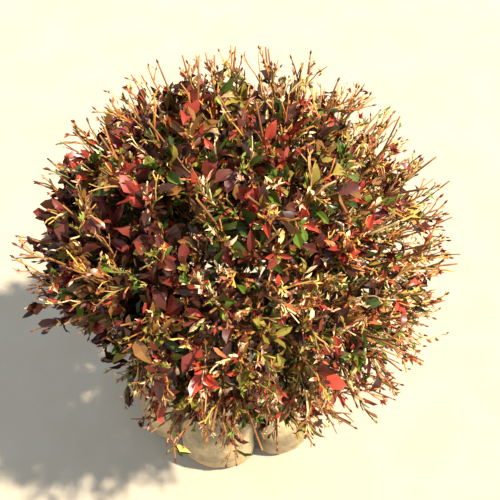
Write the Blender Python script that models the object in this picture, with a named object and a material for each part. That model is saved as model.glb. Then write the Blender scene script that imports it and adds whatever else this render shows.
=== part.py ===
"""A ball-clipped evergreen shrub on a short stem, standing in a seven-lobed cast-stone pot of soil.

Metres, +Z up, with the front towards -Y. The origin is the middle of the pot's flat underside.
The crown is shared out among masses of foliage. Each mass keeps to a cone that opens from the fork at
the top of the stem, so masses never meet, and one bough runs up the middle of each cone to its mass.
"""

import math
import random

import bmesh
import bpy
from mathutils import Vector
from mathutils.bvhtree import BVHTree

GAP = 0.0003  # left between pieces that touch

# Pot: height above the ground, radius over the crest of a lobe, and how far the creases cut in (a share)
POT_OUTSIDE = (
    (0.000, 0.164, 0.13),
    (0.008, 0.174, 0.16),
    (0.026, 0.180, 0.18),
    (0.055, 0.181, 0.19),
    (0.096, 0.174, 0.18),
    (0.134, 0.159, 0.14),
    (0.164, 0.142, 0.10),
    (0.182, 0.133, 0.06),
    (0.194, 0.134, 0.05),
    (0.200, 0.129, 0.04),
)
POT_INSIDE = ((0.200, 0.111), (0.190, 0.106), (0.110, 0.112), (0.022, 0.098))  # height, radius
LOBE_ANGLES = (55, 62, 49, 49, 50, 48, 47)  # degrees, anticlockwise from the first crease
LOBE_SWELL = (1.00, 1.08, 1.02, 1.00, 1.01, 0.99, 0.98)  # each lobe's own size
FIRST_CREASE = -124  # degrees from +X
LOBE_STEPS = 7  # facets across one lobe
LOBE_ROUNDNESS = 3.2  # power of the curve from crest to crease

SHARP_EDGE = math.radians(40)  # wider bends than this stay crisp

# Soil inside the pot
SOIL_TOP = 0.178
SOIL_FLAT = 0.62  # share of the radius that is level
SOIL_EDGE_DROP = 0.003

# Stem
STEM_FOOT = SOIL_TOP + GAP
STEM_TOP = 0.375
STEM_RADIUS = 0.0135
STEM_TAPER = 0.0035  # how much thinner it is at the top
FLARE = 0.012  # how much wider it is at the soil
FLARE_FALL = 9.0  # how fast the flare dies away upwards
FLARE_LOBES = 5
FLARE_LOBE_DEPTH = 0.14  # of the radius, at the soil
STEM_BEND = Vector((0.006, -0.0035, 0))  # how far it bows in the middle
STEM_LEAN = Vector((0.037, -0.010, 0))  # how far its top stands aside
STEM_SIDES = 12
STEM_RINGS = 8
RING_CROWDING = 1.4  # rings stand closer together in the flare

# Crown: a ball cut to this outline, which the twig tips reach
CROWN_CENTRE = Vector((0.031, -0.010, 0.520))
CROWN_RADIUS = Vector((0.268, 0.256, 0.252))
HOLLOW_MIDDLE = Vector((-0.710, -0.700, -0.067))  # the shears cut a long hollow at the front left
HOLLOW_UP = Vector((0.217, -0.309, 0.926))  # the way it runs over the ball
HOLLOW_DEPTH = 0.30  # share of the radius
HOLLOW_LENGTH = 0.75  # from its middle to its ends, as a share of the radius
HOLLOW_WIDTH = 0.45
CROWN_HOLE = math.radians(27)  # the bare cone round the stem, measured from straight down
FORK = STEM_LEAN + Vector((0, 0, 0.335))  # the tip of every mass's cone
TIP_REACH = (0.97, 1.045)  # where twigs end, as shares of the way to the clipped surface
CLEAR_OF_NEXT_MASS = 0.003
LEAF_CLEAR = 0.0006
STEM_CLEAR = 0.045  # no leaf comes nearer to the stem

MASSES = 12
LIMBS = 48  # second forks, over the whole crown
TWIGS = 176  # clipped twigs, over the whole crown
LIMB_STRAY = 0.10  # how far limbs stray from even spacing
TWIG_STRAY = 0.05
SEED = 23

# Boughs
BOUGH_SHARE = 0.40  # of the way from the fork to the clipped surface
BOUGH_RADII = (0.0058, 0.0036)
BOUGH_SIDES = 6
BOUGH_RINGS = 3
BOUGH_BOW = 0.05  # sideways bend, as a share of its length
BOUGH_ROOT_DROP = 0.012  # how far under the fork the boughs part
BOUGH_STRAIGHT = 0.012  # the last stretch, square to its flat end

# Twigs and leaves
TWIG_STEM_LENGTH = 0.034
LIMB_SHARE = 0.66  # of the way from the fork to the surface, where limbs fork into twigs
STEM_TWIG_RADII = (0.0044, 0.0038)
LIMB_RADII = (0.0032, 0.0023)
TWIG_RADII = (0.0020, 0.0012)
TWIG_SIDES = 3
SUNK = 0.003  # how far from its end a limb starts to fork
LIMB_STEP = 0.0055  # along the mass's stem, from one limb to the next
TWIG_STEP = 0.010  # along a limb, from one twig to the next
LEAF_LENGTH = (0.042, 0.054)
LEAF_WIDTH = 0.46  # of its length
LEAF_THICKNESS = 0.036  # of its length
LEAF_CUP = 0.06  # how far the middle sinks, of its length
LEAF_BROADEST = 0.60  # of the way from root to tip
LEAF_MIDDLE = 0.56
LEAF_PLACES = (0.42, 0.64, 0.86)  # along a twig
LEAF_CHANCE = 0.8  # that a place bears a leaf
LEAF_PLACE_STRAY = 0.08
LEAF_LEAN = (0.5, 1.15)  # radians away from the twig
LEAF_TWIST = 0.4
LEAF_TRIES = 8
GOLDEN_ANGLE = math.pi * (3 - math.sqrt(5))

BARK = (0.17, 0.11, 0.07)
STONE = (0.55, 0.51, 0.40)
SOIL = (0.07, 0.05, 0.035)
LEAF_TINTS = ((0.22, 0.04, 0.04), (0.10, 0.12, 0.04), (0.30, 0.07, 0.04), (0.13, 0.05, 0.05))


def clear_scene():
    for thing in list(bpy.data.objects):
        bpy.data.objects.remove(thing, do_unlink=True)


def principled(name, colour, roughness):
    """A plain non-metal finish."""
    finish = bpy.data.materials.new(name)
    finish.use_nodes = True
    shader = finish.node_tree.nodes["Principled BSDF"]
    shader.inputs["Base Color"].default_value = (*colour, 1)
    shader.inputs["Roughness"].default_value = roughness
    shader.inputs["Metallic"].default_value = 0
    return finish


def new_collection(name):
    made = bpy.data.collections.new(name)
    bpy.context.scene.collection.children.link(made)
    return made


def remove_collection(group):
    for thing in list(group.objects):
        bpy.data.objects.remove(thing, do_unlink=True)
    bpy.data.collections.remove(group)


def mesh_object(name, points, faces, finish=None, collection=None):
    mesh = bpy.data.meshes.new(name)
    mesh.from_pydata([tuple(point) for point in points], [], faces)
    if finish:
        mesh.materials.append(finish)
    thing = bpy.data.objects.new(name, mesh)
    (collection or bpy.context.scene.collection).objects.link(thing)
    return thing


def ring_faces(ring_count, sides):
    """Skins the rings one after the other, and caps the first and the last."""
    faces = [tuple(reversed(range(sides)))]
    for ring in range(ring_count - 1):
        low, high = ring * sides, (ring + 1) * sides
        for side in range(sides):
            following = (side + 1) % sides
            faces.append((low + side, low + following, high + following, high + side))
    last = (ring_count - 1) * sides
    faces.append(tuple(range(last, last + sides)))
    return faces


def across(direction):
    """Two unit vectors square to a direction, and to each other."""
    upright = Vector((0, 0, 1)) if abs(direction.z) < 0.9 else Vector((1, 0, 0))
    sideways = direction.cross(upright).normalized()
    return sideways, sideways.cross(direction).normalized()


def tube(centres, radii, sides, turn=0.0):
    """Points and faces of a tapering limb along the centres, with flat ends square to it."""
    points = []
    count = len(centres)
    for index, (centre, radius) in enumerate(zip(centres, radii)):
        before, after = centres[max(index - 1, 0)], centres[min(index + 1, count - 1)]
        u, v = across((after - before).normalized())
        for side in range(sides):
            angle = turn - math.tau * side / sides
            points.append(centre + radius * (math.cos(angle) * u + math.sin(angle) * v))
    return points, ring_faces(count, sides)


# Pot and soil


def lobe_directions():
    """(angle, place across its lobe from -1 to 1, size of its lobe) right round the pot."""
    start = FIRST_CREASE
    found = []
    for width, swell in zip(LOBE_ANGLES, LOBE_SWELL):
        for step in range(LOBE_STEPS):
            share = step / LOBE_STEPS
            found.append((math.radians(start + width * share), 2 * share - 1, swell))
        start += width
    return found


def pot_outer_ring(height, radius, crease):
    ring = []
    for angle, place, swell in lobe_directions():
        fullness = 1 - abs(place) ** LOBE_ROUNDNESS
        size = radius * (1 - crease * (1 - fullness)) * (1 + (swell - 1) * fullness)
        ring.append(Vector((size * math.cos(angle), size * math.sin(angle), height)))
    return ring


def round_ring(height, radius):
    return [
        Vector((radius * math.cos(angle), radius * math.sin(angle), height))
        for angle, _, _ in lobe_directions()
    ]


def make_pot():
    rings = [pot_outer_ring(*line) for line in POT_OUTSIDE]
    rings += [round_ring(*line) for line in POT_INSIDE]
    points = [point for ring in rings for point in ring]
    faces = ring_faces(len(rings), len(rings[0]))
    pot = mesh_object("pot", points, faces, principled("pot_stone", STONE, 0.9))
    pot.data.shade_smooth()
    pot.data.set_sharp_from_angle(angle=SHARP_EDGE)
    return pot


def inner_radius(height):
    """The pot's inside radius at a height, between the two outline points around it."""
    for (upper, wide), (lower, narrow) in zip(POT_INSIDE, POT_INSIDE[1:]):
        if lower <= height <= upper:
            return narrow + (wide - narrow) * (height - lower) / (upper - lower)
    raise ValueError("the height is outside the pot")


def make_soil():
    edge = SOIL_TOP - SOIL_EDGE_DROP
    floor, floor_radius = POT_INSIDE[-1]
    bend, bend_radius = POT_INSIDE[-2]
    rings = [
        round_ring(floor + GAP, floor_radius - GAP),
        round_ring(bend, bend_radius - GAP),
        round_ring(edge, inner_radius(edge) - GAP),
        round_ring(SOIL_TOP, inner_radius(edge) * SOIL_FLAT),
    ]
    points = [point for ring in rings for point in ring]
    faces = ring_faces(len(rings), len(rings[0]))
    return mesh_object("soil", points, faces, principled("potting_soil", SOIL, 1.0))


# Stem and boughs


def stem_radius(share):
    return STEM_RADIUS - STEM_TAPER * share + FLARE * math.exp(-FLARE_FALL * share)


def stem_mesh(extra):
    """The stem's points and faces, grown outwards by extra."""
    points = []
    for ring in range(STEM_RINGS):
        share = (ring / (STEM_RINGS - 1)) ** RING_CROWDING
        height = STEM_FOOT + (STEM_TOP + extra - STEM_FOOT) * share
        centre = STEM_BEND * math.sin(math.pi * share) + STEM_LEAN * share
        for side in range(STEM_SIDES):
            angle = math.tau * side / STEM_SIDES
            swell = FLARE_LOBE_DEPTH * math.exp(-FLARE_FALL * share) * math.cos(FLARE_LOBES * angle)
            radius = stem_radius(share) * (1 + swell) + extra / math.cos(math.pi / STEM_SIDES)
            x = centre.x + radius * math.cos(angle)
            y = centre.y + radius * math.sin(angle)
            points.append(Vector((x, y, height)))
    return points, ring_faces(STEM_RINGS, STEM_SIDES)


def make_stem(finish):
    stem = mesh_object("stem", *stem_mesh(0), finish)
    stem.data.shade_smooth()
    stem.data.set_sharp_from_angle(angle=SHARP_EDGE)
    return stem


def bough_line(axis, length):
    """Centres of a bough: from inside the stem, bowed a little, and straight out along its cone's axis."""
    start = FORK - Vector((0, 0, BOUGH_ROOT_DROP))
    end = FORK + axis * length
    sideways, _ = across(axis)
    elbow = start.lerp(end, 0.5) + sideways * BOUGH_BOW * length
    before_end = end - axis * BOUGH_STRAIGHT
    centres = []
    for ring in range(BOUGH_RINGS):
        share = ring / (BOUGH_RINGS - 1)
        centres.append((1 - share) ** 2 * start + 2 * share * (1 - share) * elbow + share**2 * before_end)
    return centres + [end]


def bough_mesh(axis, length, extra):
    """A bough's points and faces, grown outwards by extra."""
    centres = bough_line(axis, length)
    thick, thin = BOUGH_RADII
    steps = len(centres) - 1
    grown = extra / math.cos(math.pi / BOUGH_SIDES)
    radii = [thick + (thin - thick) * index / steps + grown for index in range(steps + 1)]
    return tube(centres, radii, BOUGH_SIDES)


def make_bough(name, axis, length, cleared, finish):
    """A bough trimmed to stand clear of the stem and of the boughs made before it."""
    bough = mesh_object(name, *bough_mesh(axis, length, 0), finish)
    cut = bough.modifiers.new("clear of the others", "BOOLEAN")
    cut.operation = "DIFFERENCE"
    cut.operand_type = "COLLECTION"
    cut.collection = cleared
    bake(bough)
    mesh_object(name + "_clearance", *bough_mesh(axis, length, GAP), collection=cleared)
    bough.data.shade_smooth()
    bough.data.set_sharp_from_angle(angle=SHARP_EDGE)
    return bough


def bake(thing):
    """Applies an object's modifiers, and keeps only its largest closed shell."""
    finish = thing.data.materials[0]
    graph = bpy.context.evaluated_depsgraph_get()
    made = bpy.data.meshes.new_from_object(thing.evaluated_get(graph))
    thing.modifiers.clear()
    keep_largest_shell(made)
    made.materials.clear()
    made.materials.append(finish)
    thing.data = made


def keep_largest_shell(mesh):
    """Drops loose scraps and sealed hollows, which leaves one solid body."""
    shape = bmesh.new()
    shape.from_mesh(mesh)
    bmesh.ops.triangulate(shape, faces=shape.faces[:])
    left = set(shape.faces)
    shells = []
    while left:
        found, front = set(), [left.pop()]
        while front:
            face = front.pop()
            found.add(face)
            for edge in face.edges:
                for other in edge.link_faces:
                    if other in left:
                        left.remove(other)
                        front.append(other)
        shells.append(found)
    largest = max(shells, key=len)
    bmesh.ops.delete(shape, geom=[face for face in shape.faces if face not in largest], context="FACES")
    shape.to_mesh(mesh)
    shape.free()


# Crown


def ball_directions(count):
    """Evenly spaced directions over the ball, leaving out the cone round the stem."""
    lowest = -math.cos(CROWN_HOLE)
    found = []
    for index in range(count):
        z = 1 - (index + 0.5) / count * (1 - lowest)
        flat = math.sqrt(1 - z * z)
        angle = GOLDEN_ANGLE * index
        found.append(Vector((flat * math.cos(angle), flat * math.sin(angle), z)))
    return found


def crown_point(direction, reach=1.0):
    return CROWN_CENTRE + reach * Vector(a * b for a, b in zip(CROWN_RADIUS, direction))


def outline(direction):
    """How far out the clipped surface is along a direction, as a share of the even ball."""
    direction = direction.normalized()
    if direction.dot(HOLLOW_MIDDLE) < 0:
        return 1
    up = direction.dot(HOLLOW_UP) / HOLLOW_LENGTH
    aside = direction.dot(HOLLOW_MIDDLE.cross(HOLLOW_UP)) / HOLLOW_WIDTH
    return 1 - HOLLOW_DEPTH * max(0, 1 - up * up - aside * aside) ** 2


def surface_share(point):
    """How far out a point is, as a share of the way to the clipped surface."""
    out = Vector(a / b for a, b in zip(point - CROWN_CENTRE, CROWN_RADIUS))
    return out.length / outline(out)


def strayed(directions, chance, amount):
    """The directions, each moved a little at random."""
    found = []
    for direction in directions:
        shift = Vector((chance.gauss(0, 1), chance.gauss(0, 1), chance.gauss(0, 1)))
        found.append((direction + shift * amount).normalized())
    return found


def from_fork(point):
    return (point - FORK).normalized()


def nearest(direction, choices):
    return max(range(len(choices)), key=lambda index: direction.dot(choices[index]))


def wall_distance(point, owner, axes):
    """(distance, inward normal) of the nearest side of the owner's cone."""
    found = []
    for index, axis in enumerate(axes):
        if index != owner:
            inward = (axes[owner] - axis).normalized()
            found.append((inward.dot(point - FORK), inward))
    return min(found, key=lambda pair: pair[0])


def pulled_in(point, owner, axes, clear):
    """The point, moved inwards until it is clear of the sides of the owner's cone."""
    for _ in axes:
        distance, inward = wall_distance(point, owner, axes)
        if distance >= clear:
            break
        point = point + inward * (clear - distance + GAP)
    return point


def crown_plan():
    """Where the crown forks: the cones' axes, and for each mass its limbs, each with its twig tips."""
    chance = random.Random(SEED)
    axes = [from_fork(crown_point(direction)) for direction in ball_directions(MASSES)]
    limbs = [[] for _ in axes]
    for direction in strayed(ball_directions(LIMBS), chance, LIMB_STRAY):
        aim = crown_point(direction)
        owner = nearest(from_fork(aim), axes)
        end = pulled_in(FORK.lerp(aim, LIMB_SHARE), owner, axes, CLEAR_OF_NEXT_MASS)
        limbs[owner].append((end, []))
    for direction in strayed(ball_directions(TWIGS), chance, TWIG_STRAY):
        tip = crown_point(direction, outline(direction) * chance.uniform(*TIP_REACH))
        owner = nearest(from_fork(tip), axes)
        tip = pulled_in(tip, owner, axes, CLEAR_OF_NEXT_MASS)
        choices = [from_fork(end) for end, _ in limbs[owner]]
        limbs[owner][nearest(from_fork(tip), choices)][1].append(tip)
    return axes, limbs


def bough_length(axis):
    """From the fork, along an axis, to where the mass begins."""
    away = FORK - CROWN_CENTRE
    scaled_axis = Vector(a / b for a, b in zip(axis, CROWN_RADIUS))
    scaled_away = Vector(a / b for a, b in zip(away, CROWN_RADIUS))
    half = scaled_axis.dot(scaled_away)
    square = scaled_axis.length_squared
    reach = (math.sqrt(half * half - square * (scaled_away.length_squared - 1)) - half) / square
    return BOUGH_SHARE * reach


def twig_mesh(start, end, radii, chance):
    return tube([start, end], radii, TWIG_SIDES, chance.uniform(0, math.tau))


def leaf_mesh(root, out, face_up, length):
    """A thin cupped blade with a root, a tip, two sides and a raised middle: eight faces."""
    side = out.cross(face_up).normalized()
    up = side.cross(out)
    middle = root + out * length * LEAF_MIDDLE - up * length * LEAF_CUP
    half_width = side * length * LEAF_WIDTH / 2
    half_thick = up * length * LEAF_THICKNESS / 2
    widest = root + out * length * LEAF_BROADEST
    points = [
        root,
        widest + half_width,
        root + out * length,
        widest - half_width,
        middle + half_thick,
        middle - half_thick,
    ]
    faces = [(4, a, (a + 1) % 4) for a in range(4)]
    faces += [(5, (a + 1) % 4, a) for a in range(4)]
    return points, faces


def leaf_fits(points, faces, owner, axes, others):
    """Whether a leaf keeps to its cone, away from the stem, and clear of the mass's other pieces."""
    for point in points:
        if wall_distance(point, owner, axes)[0] < LEAF_CLEAR or surface_share(point) > TIP_REACH[1]:
            return False
        aside = math.hypot(point.x - FORK.x, point.y - FORK.y)
        if aside < STEM_CLEAR and point.z < STEM_TOP + STEM_CLEAR:
            return False
    shape = BVHTree.FromPolygons(points, faces)
    return not any(shape.overlap(other) for other in others)


def place_leaf(start, tip, place, turn, owner, axes, others, chance):
    """A leaf on a twig, or None where no turn lets it fit."""
    along = (tip - start).normalized()
    u, v = across(along)
    root = start.lerp(tip, place)
    for attempt in range(LEAF_TRIES):
        angle = turn + GOLDEN_ANGLE * attempt
        lean = chance.uniform(*LEAF_LEAN)
        outward = math.cos(angle) * u + math.sin(angle) * v
        out = math.cos(lean) * along + math.sin(lean) * outward
        face_up = along - out * along.dot(out) + outward * chance.uniform(-LEAF_TWIST, LEAF_TWIST)
        length = chance.uniform(*LEAF_LENGTH)
        points, faces = leaf_mesh(root, out, face_up, length)
        if leaf_fits(points, faces, owner, axes, others):
            return points, faces
    return None


def aligned_first(ends, root, direction):
    """The ends, with those most in line with the parent's direction first."""
    return sorted(ends, key=lambda end: -direction.dot((end - root).normalized()))


def mass_pieces(owner, axes, limbs):
    """Meshes of one mass: its stem, then its limbs and twigs, then its leaves."""
    chance = random.Random(SEED * 100 + owner)
    axis = axes[owner]
    root = FORK + axis * (bough_length(axis) + GAP)
    fork = root + axis * TWIG_STEM_LENGTH
    pieces = [tube([root, fork], STEM_TWIG_RADII, TWIG_SIDES)]
    tips_of = {tuple(end): tips for end, tips in limbs}
    twigs = []
    for place, limb_end in enumerate(aligned_first([end for end, _ in limbs], fork, axis)):
        limb_start = fork - axis * (SUNK + LIMB_STEP * place)
        along = (limb_end - limb_start).normalized()
        pieces.append(twig_mesh(limb_start, limb_end, LIMB_RADII, chance))
        for step, tip in enumerate(aligned_first(tips_of[tuple(limb_end)], limb_end, along)):
            start = limb_end - along * (SUNK + TWIG_STEP * step)
            twigs.append((len(pieces), start, tip))
            pieces.append(twig_mesh(start, tip, TWIG_RADII, chance))
    trees = [BVHTree.FromPolygons(*piece) for piece in pieces]
    for own, start, tip in twigs:
        turn = chance.uniform(0, math.tau)
        for place in LEAF_PLACES:
            if chance.random() > LEAF_CHANCE:
                continue
            where = place + chance.uniform(-LEAF_PLACE_STRAY, LEAF_PLACE_STRAY)
            others = trees[:own] + trees[own + 1 :]
            leaf = place_leaf(start, tip, where, turn, owner, axes, others, chance)
            turn += GOLDEN_ANGLE
            if leaf:
                pieces.append(leaf)
                trees.append(BVHTree.FromPolygons(*leaf))
    return pieces


def make_mass(name, owner, axes, limbs, finish):
    """Fuses one mass's pieces into a single solid."""
    pieces = mass_pieces(owner, axes, limbs)
    helpers = new_collection(name + "_pieces")
    for index, (points, faces) in enumerate(pieces[1:]):
        mesh_object(f"{name}_piece_{index}", points, faces, collection=helpers)
    mass = mesh_object(name, *pieces[0], finish)
    join = mass.modifiers.new("fuse", "BOOLEAN")
    join.operation = "UNION"
    join.operand_type = "COLLECTION"
    join.collection = helpers
    join.solver = "EXACT"
    bake(mass)
    remove_collection(helpers)
    return mass


def main():
    clear_scene()
    make_pot()
    make_soil()
    make_stem(principled("stem_bark", BARK, 0.85))
    cleared = new_collection("cleared")
    mesh_object("stem_clearance", *stem_mesh(GAP), collection=cleared)
    axes, limbs = crown_plan()
    for owner, axis in enumerate(axes):
        bark = principled(f"bough_bark_{owner + 1:02d}", BARK, 0.85)
        make_bough(f"bough_{owner + 1:02d}", axis, bough_length(axis), cleared, bark)
        tint = LEAF_TINTS[owner % len(LEAF_TINTS)]
        leaves = principled(f"foliage_{owner + 1:02d}", tint, 0.6)
        make_mass(f"mass_{owner + 1:02d}", owner, axes, limbs[owner], leaves)
    remove_collection(cleared)


main()
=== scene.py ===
# %% [markdown]
# # A ball-clipped shrub in a stone pot
# This notebook dresses a plain solid model of a patio shrub: a lobed pot cast in stone, potting soil, a
# short stem with twelve boughs, and a ball of clipped twigs with leaves in winter reds. The solid model is
# the frame. It says where every piece belongs, and nothing here moves or resizes it.

# %% Load the solid model
import math
import random

import bpy
import numpy as np
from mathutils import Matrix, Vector


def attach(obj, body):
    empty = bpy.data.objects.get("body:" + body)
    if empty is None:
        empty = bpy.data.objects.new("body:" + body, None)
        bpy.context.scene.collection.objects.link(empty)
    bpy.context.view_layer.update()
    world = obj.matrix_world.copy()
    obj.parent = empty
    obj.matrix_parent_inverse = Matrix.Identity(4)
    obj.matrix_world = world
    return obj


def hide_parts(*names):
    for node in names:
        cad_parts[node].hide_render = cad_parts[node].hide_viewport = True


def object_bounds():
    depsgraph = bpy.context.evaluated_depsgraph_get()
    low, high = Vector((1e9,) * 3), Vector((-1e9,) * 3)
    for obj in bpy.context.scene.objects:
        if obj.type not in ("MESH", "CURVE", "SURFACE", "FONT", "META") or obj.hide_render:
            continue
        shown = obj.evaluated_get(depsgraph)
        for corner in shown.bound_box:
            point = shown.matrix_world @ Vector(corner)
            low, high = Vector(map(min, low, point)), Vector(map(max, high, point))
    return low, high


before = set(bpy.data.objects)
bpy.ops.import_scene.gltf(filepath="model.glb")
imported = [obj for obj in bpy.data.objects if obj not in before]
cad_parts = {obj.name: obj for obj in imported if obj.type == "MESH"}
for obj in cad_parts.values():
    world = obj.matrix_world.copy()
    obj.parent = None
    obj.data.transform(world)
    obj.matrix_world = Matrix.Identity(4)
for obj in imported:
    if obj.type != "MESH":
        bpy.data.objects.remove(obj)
cad_low, cad_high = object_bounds()
MASS_NODES = sorted(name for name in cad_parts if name.startswith("mass_"))
BOUGH_NODES = sorted(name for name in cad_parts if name.startswith("bough_"))
print("the plant is", [round(size, 3) for size in cad_high - cad_low], "metres across, deep and high")

# %% [markdown]
# The main measures come first, because the camera, the lights and the foliage all need them. They are the
# same values that the solid model was worked out from: the ball that the shears follow, the fork where the
# boughs part, and how far apart limbs and twigs stand.

# %% Measures of the plant
CROWN_CENTRE = Vector((0.031, -0.010, 0.520))
CROWN_RADIUS = Vector((0.268, 0.256, 0.252))  # half the crown's width, depth and height
CROWN_HOLE = math.radians(27)  # half the width of the cone round the stem that bears no limbs
HOLLOW_MIDDLE = Vector((-0.710, -0.700, -0.067))  # where the shears cut deepest, from the centre
HOLLOW_UP = Vector((0.217, -0.309, 0.926))  # the way that the hollow runs
HOLLOW_DEPTH = 0.30
HOLLOW_LENGTH = 0.75
HOLLOW_WIDTH = 0.45
STEM_LEAN = Vector((0.037, -0.010, 0))
FORK = STEM_LEAN + Vector((0, 0, 0.335))
TIP_REACH = (0.97, 1.045)  # how far out twigs end, as shares of the way to the clipped surface
CLEAR_OF_NEXT_MASS = 0.003
GAP = 0.0003
MASSES = 12
LIMBS = 48
TWIGS = 176
LIMB_STRAY = 0.10
TWIG_STRAY = 0.05
SEED = 23

# %% [markdown]
# ## Camera, floor and light
# The shrub is seen steeply from above and from quite near, so the ball hides most of its pot. A lens of
# fifty millimetres at less than a metre gives that strong perspective.

# %% Camera
IMAGE_SIDE = 500
FOCAL_PIXELS = 700
SENSOR_WIDTH = 36  # millimetres
NEAREST_SEEN = 0.01
CAMERA_ELEVATION = math.radians(60)
CAMERA_DISTANCE = 0.92
LOOK_AT = CROWN_CENTRE + Vector((0.012, 0, 0))


def add_camera():
    away = Vector((0, -math.cos(CAMERA_ELEVATION), math.sin(CAMERA_ELEVATION)))
    bpy.ops.object.camera_add(
        location=LOOK_AT + away * CAMERA_DISTANCE,
        rotation=(math.pi / 2 - CAMERA_ELEVATION, 0, 0),
    )
    camera = bpy.context.object
    camera.data.sensor_width = SENSOR_WIDTH
    camera.data.lens = SENSOR_WIDTH * FOCAL_PIXELS / IMAGE_SIDE
    camera.data.clip_start = NEAREST_SEEN
    bpy.context.scene.camera = camera
    return camera


print("lens of", round(add_camera().data.lens, 1), "mm")

# %% [markdown]
# Materials are made of nodes. Wiring nodes by hand in code is long-winded, so one small class wraps a
# socket: Python's own operators add the Math nodes, and one method makes any other node from its type, its
# settings and its inputs.

# %% A small class for node materials
class Signal:
    """One output in a material, which operators and make() build on."""

    def __init__(self, tree, socket=None):
        self.tree = tree
        self.socket = socket

    def make(self, kind, settings=None, inputs=None, output=0):
        """Adds a node: first its settings, then the values or links of its sockets."""
        node = self.tree.nodes.new(kind)
        for name, value in (settings or {}).items():
            setattr(node, name, value)
        for name, value in (inputs or {}).items():
            if isinstance(value, Signal):
                self.tree.links.new(value.socket, node.inputs[name])
            else:
                node.inputs[name].default_value = value
        return Signal(self.tree, node.outputs[output] if len(node.outputs) else None)

    def math(self, operation, *values):
        return self.make("ShaderNodeMath", {"operation": operation}, dict(enumerate(values)))

    def vector(self, operation, *others):
        return self.make("ShaderNodeVectorMath", {"operation": operation}, dict(enumerate((self, *others))))

    def __add__(self, other):
        return self.math("ADD", self, other)

    def __radd__(self, other):
        return self.math("ADD", other, self)

    def __sub__(self, other):
        return self.math("SUBTRACT", self, other)

    def __rsub__(self, other):
        return self.math("SUBTRACT", other, self)

    def __mul__(self, other):
        return self.math("MULTIPLY", self, other)

    def __rmul__(self, other):
        return self.math("MULTIPLY", other, self)

    def between(self, low, high):
        """0 under low, 1 over high, and smooth in between."""
        inputs = {"Value": self, "From Min": low, "From Max": high}
        return self.make("ShaderNodeMapRange", {"interpolation_type": "SMOOTHSTEP"}, inputs)


# %% Noise, mixes and finished materials
def new_material(name):
    """A material's node tree, emptied, with a Signal to start from."""
    material = bpy.data.materials.new(name)
    material.use_nodes = True
    material.node_tree.nodes.clear()
    return material, Signal(material.node_tree)


def object_place(start, scale=(1, 1, 1)):
    """Object coordinates, stretched by a scale."""
    place = start.make("ShaderNodeTexCoord", output="Object")
    return start.make("ShaderNodeMapping", inputs={"Vector": place, "Scale": scale})


def noise(place, scale, detail=4.0, roughness=0.55):
    inputs = {"Vector": place, "Scale": scale, "Detail": detail, "Roughness": roughness}
    return place.make("ShaderNodeTexNoise", inputs=inputs)


def least_plus(pattern, least, added):
    """A value that is never under the least, with more where the pattern is strong."""
    return least + pattern * added


def mixed(share, first, second):
    """Two colours, mixed by a share from 0 to 1."""
    colours = [one if isinstance(one, Signal) else (*one, 1) for one in (first, second)]
    inputs = {0: share, 6: colours[0], 7: colours[1]}  # the node's sockets for a factor and two colours
    return share.make("ShaderNodeMix", {"data_type": "RGBA"}, inputs, output=2)


def bump(height, strength, distance):
    inputs = {"Height": height, "Strength": strength, "Distance": distance}
    return height.make("ShaderNodeBump", inputs=inputs)


def finish(start, colour, roughness, extra=None):
    """Ends a material in a Principled shader with its colour, its roughness and any extra inputs."""
    inputs = {"Base Color": colour, "Roughness": roughness, **(extra or {})}
    shader = start.make("ShaderNodeBsdfPrincipled", inputs=inputs)
    start.make("ShaderNodeOutputMaterial", inputs={"Surface": shader})


# %% [markdown]
# The floor is pale sunlit concrete, kept plain. It only has to catch the shadow and throw warm light back
# up into the twigs, as paving does.

# %% Floor
FLOOR_SIDE = 8.0
FLOOR_DARK = (0.41, 0.334, 0.240)
FLOOR_LIGHT = (0.43, 0.357, 0.264)
FLOOR_ROUGHNESS = 0.9
FLOOR_MOTTLE = (9.0, 6.0)  # a noise's scale and detail, and for some its roughness
FLOOR_TURN = (0.35, 0.7)  # between which values of the noise one colour turns into the other


def floor_material():
    material, start = new_material("pale_floor")
    mottle = noise(object_place(start), *FLOOR_MOTTLE)
    finish(start, mixed(mottle.between(*FLOOR_TURN), FLOOR_DARK, FLOOR_LIGHT), FLOOR_ROUGHNESS)
    return material


def add_floor():
    bpy.ops.mesh.primitive_plane_add(size=FLOOR_SIDE, location=(0, 0, 0))
    floor = bpy.context.object
    floor.name = "floor"
    floor.data.materials.append(floor_material())


add_floor()

# %% [markdown]
# One warm lamp stands high on the right, a little in front of the plant. A sun lamp with a disc of nearly
# two degrees gives shadows with slightly soft edges. A pale blue surround fills the shade.

# %% Lamp and surround
KEY_AZIMUTH = math.radians(-4.5)  # from +X towards +Y
KEY_ELEVATION = math.radians(58.5)
KEY_DISC = math.radians(1.8)
KEY_STRENGTH = 8.9
KEY_COLOUR = (1.0, 0.94, 0.80)
SURROUND = (0.80, 0.95, 1.14)
SURROUND_STRENGTH = 0.97


def add_key_lamp():
    level = math.cos(KEY_ELEVATION)
    rise = math.sin(KEY_ELEVATION)
    towards = Vector((level * math.cos(KEY_AZIMUTH), level * math.sin(KEY_AZIMUTH), rise))
    bpy.ops.object.light_add(type="SUN", location=CROWN_CENTRE + towards)
    lamp = bpy.context.object
    lamp.rotation_euler = towards.to_track_quat("Z", "Y").to_euler()
    lamp.data.angle = KEY_DISC
    lamp.data.energy = KEY_STRENGTH
    lamp.data.color = KEY_COLOUR


def light_surround():
    world = bpy.data.worlds.new("surround")
    bpy.context.scene.world = world
    world.use_nodes = True
    background = world.node_tree.nodes["Background"]
    background.inputs["Color"].default_value = (*SURROUND, 1)
    background.inputs["Strength"].default_value = SURROUND_STRENGTH


add_key_lamp()
light_surround()
bpy.context.scene.view_settings.view_transform = "Standard"

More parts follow.
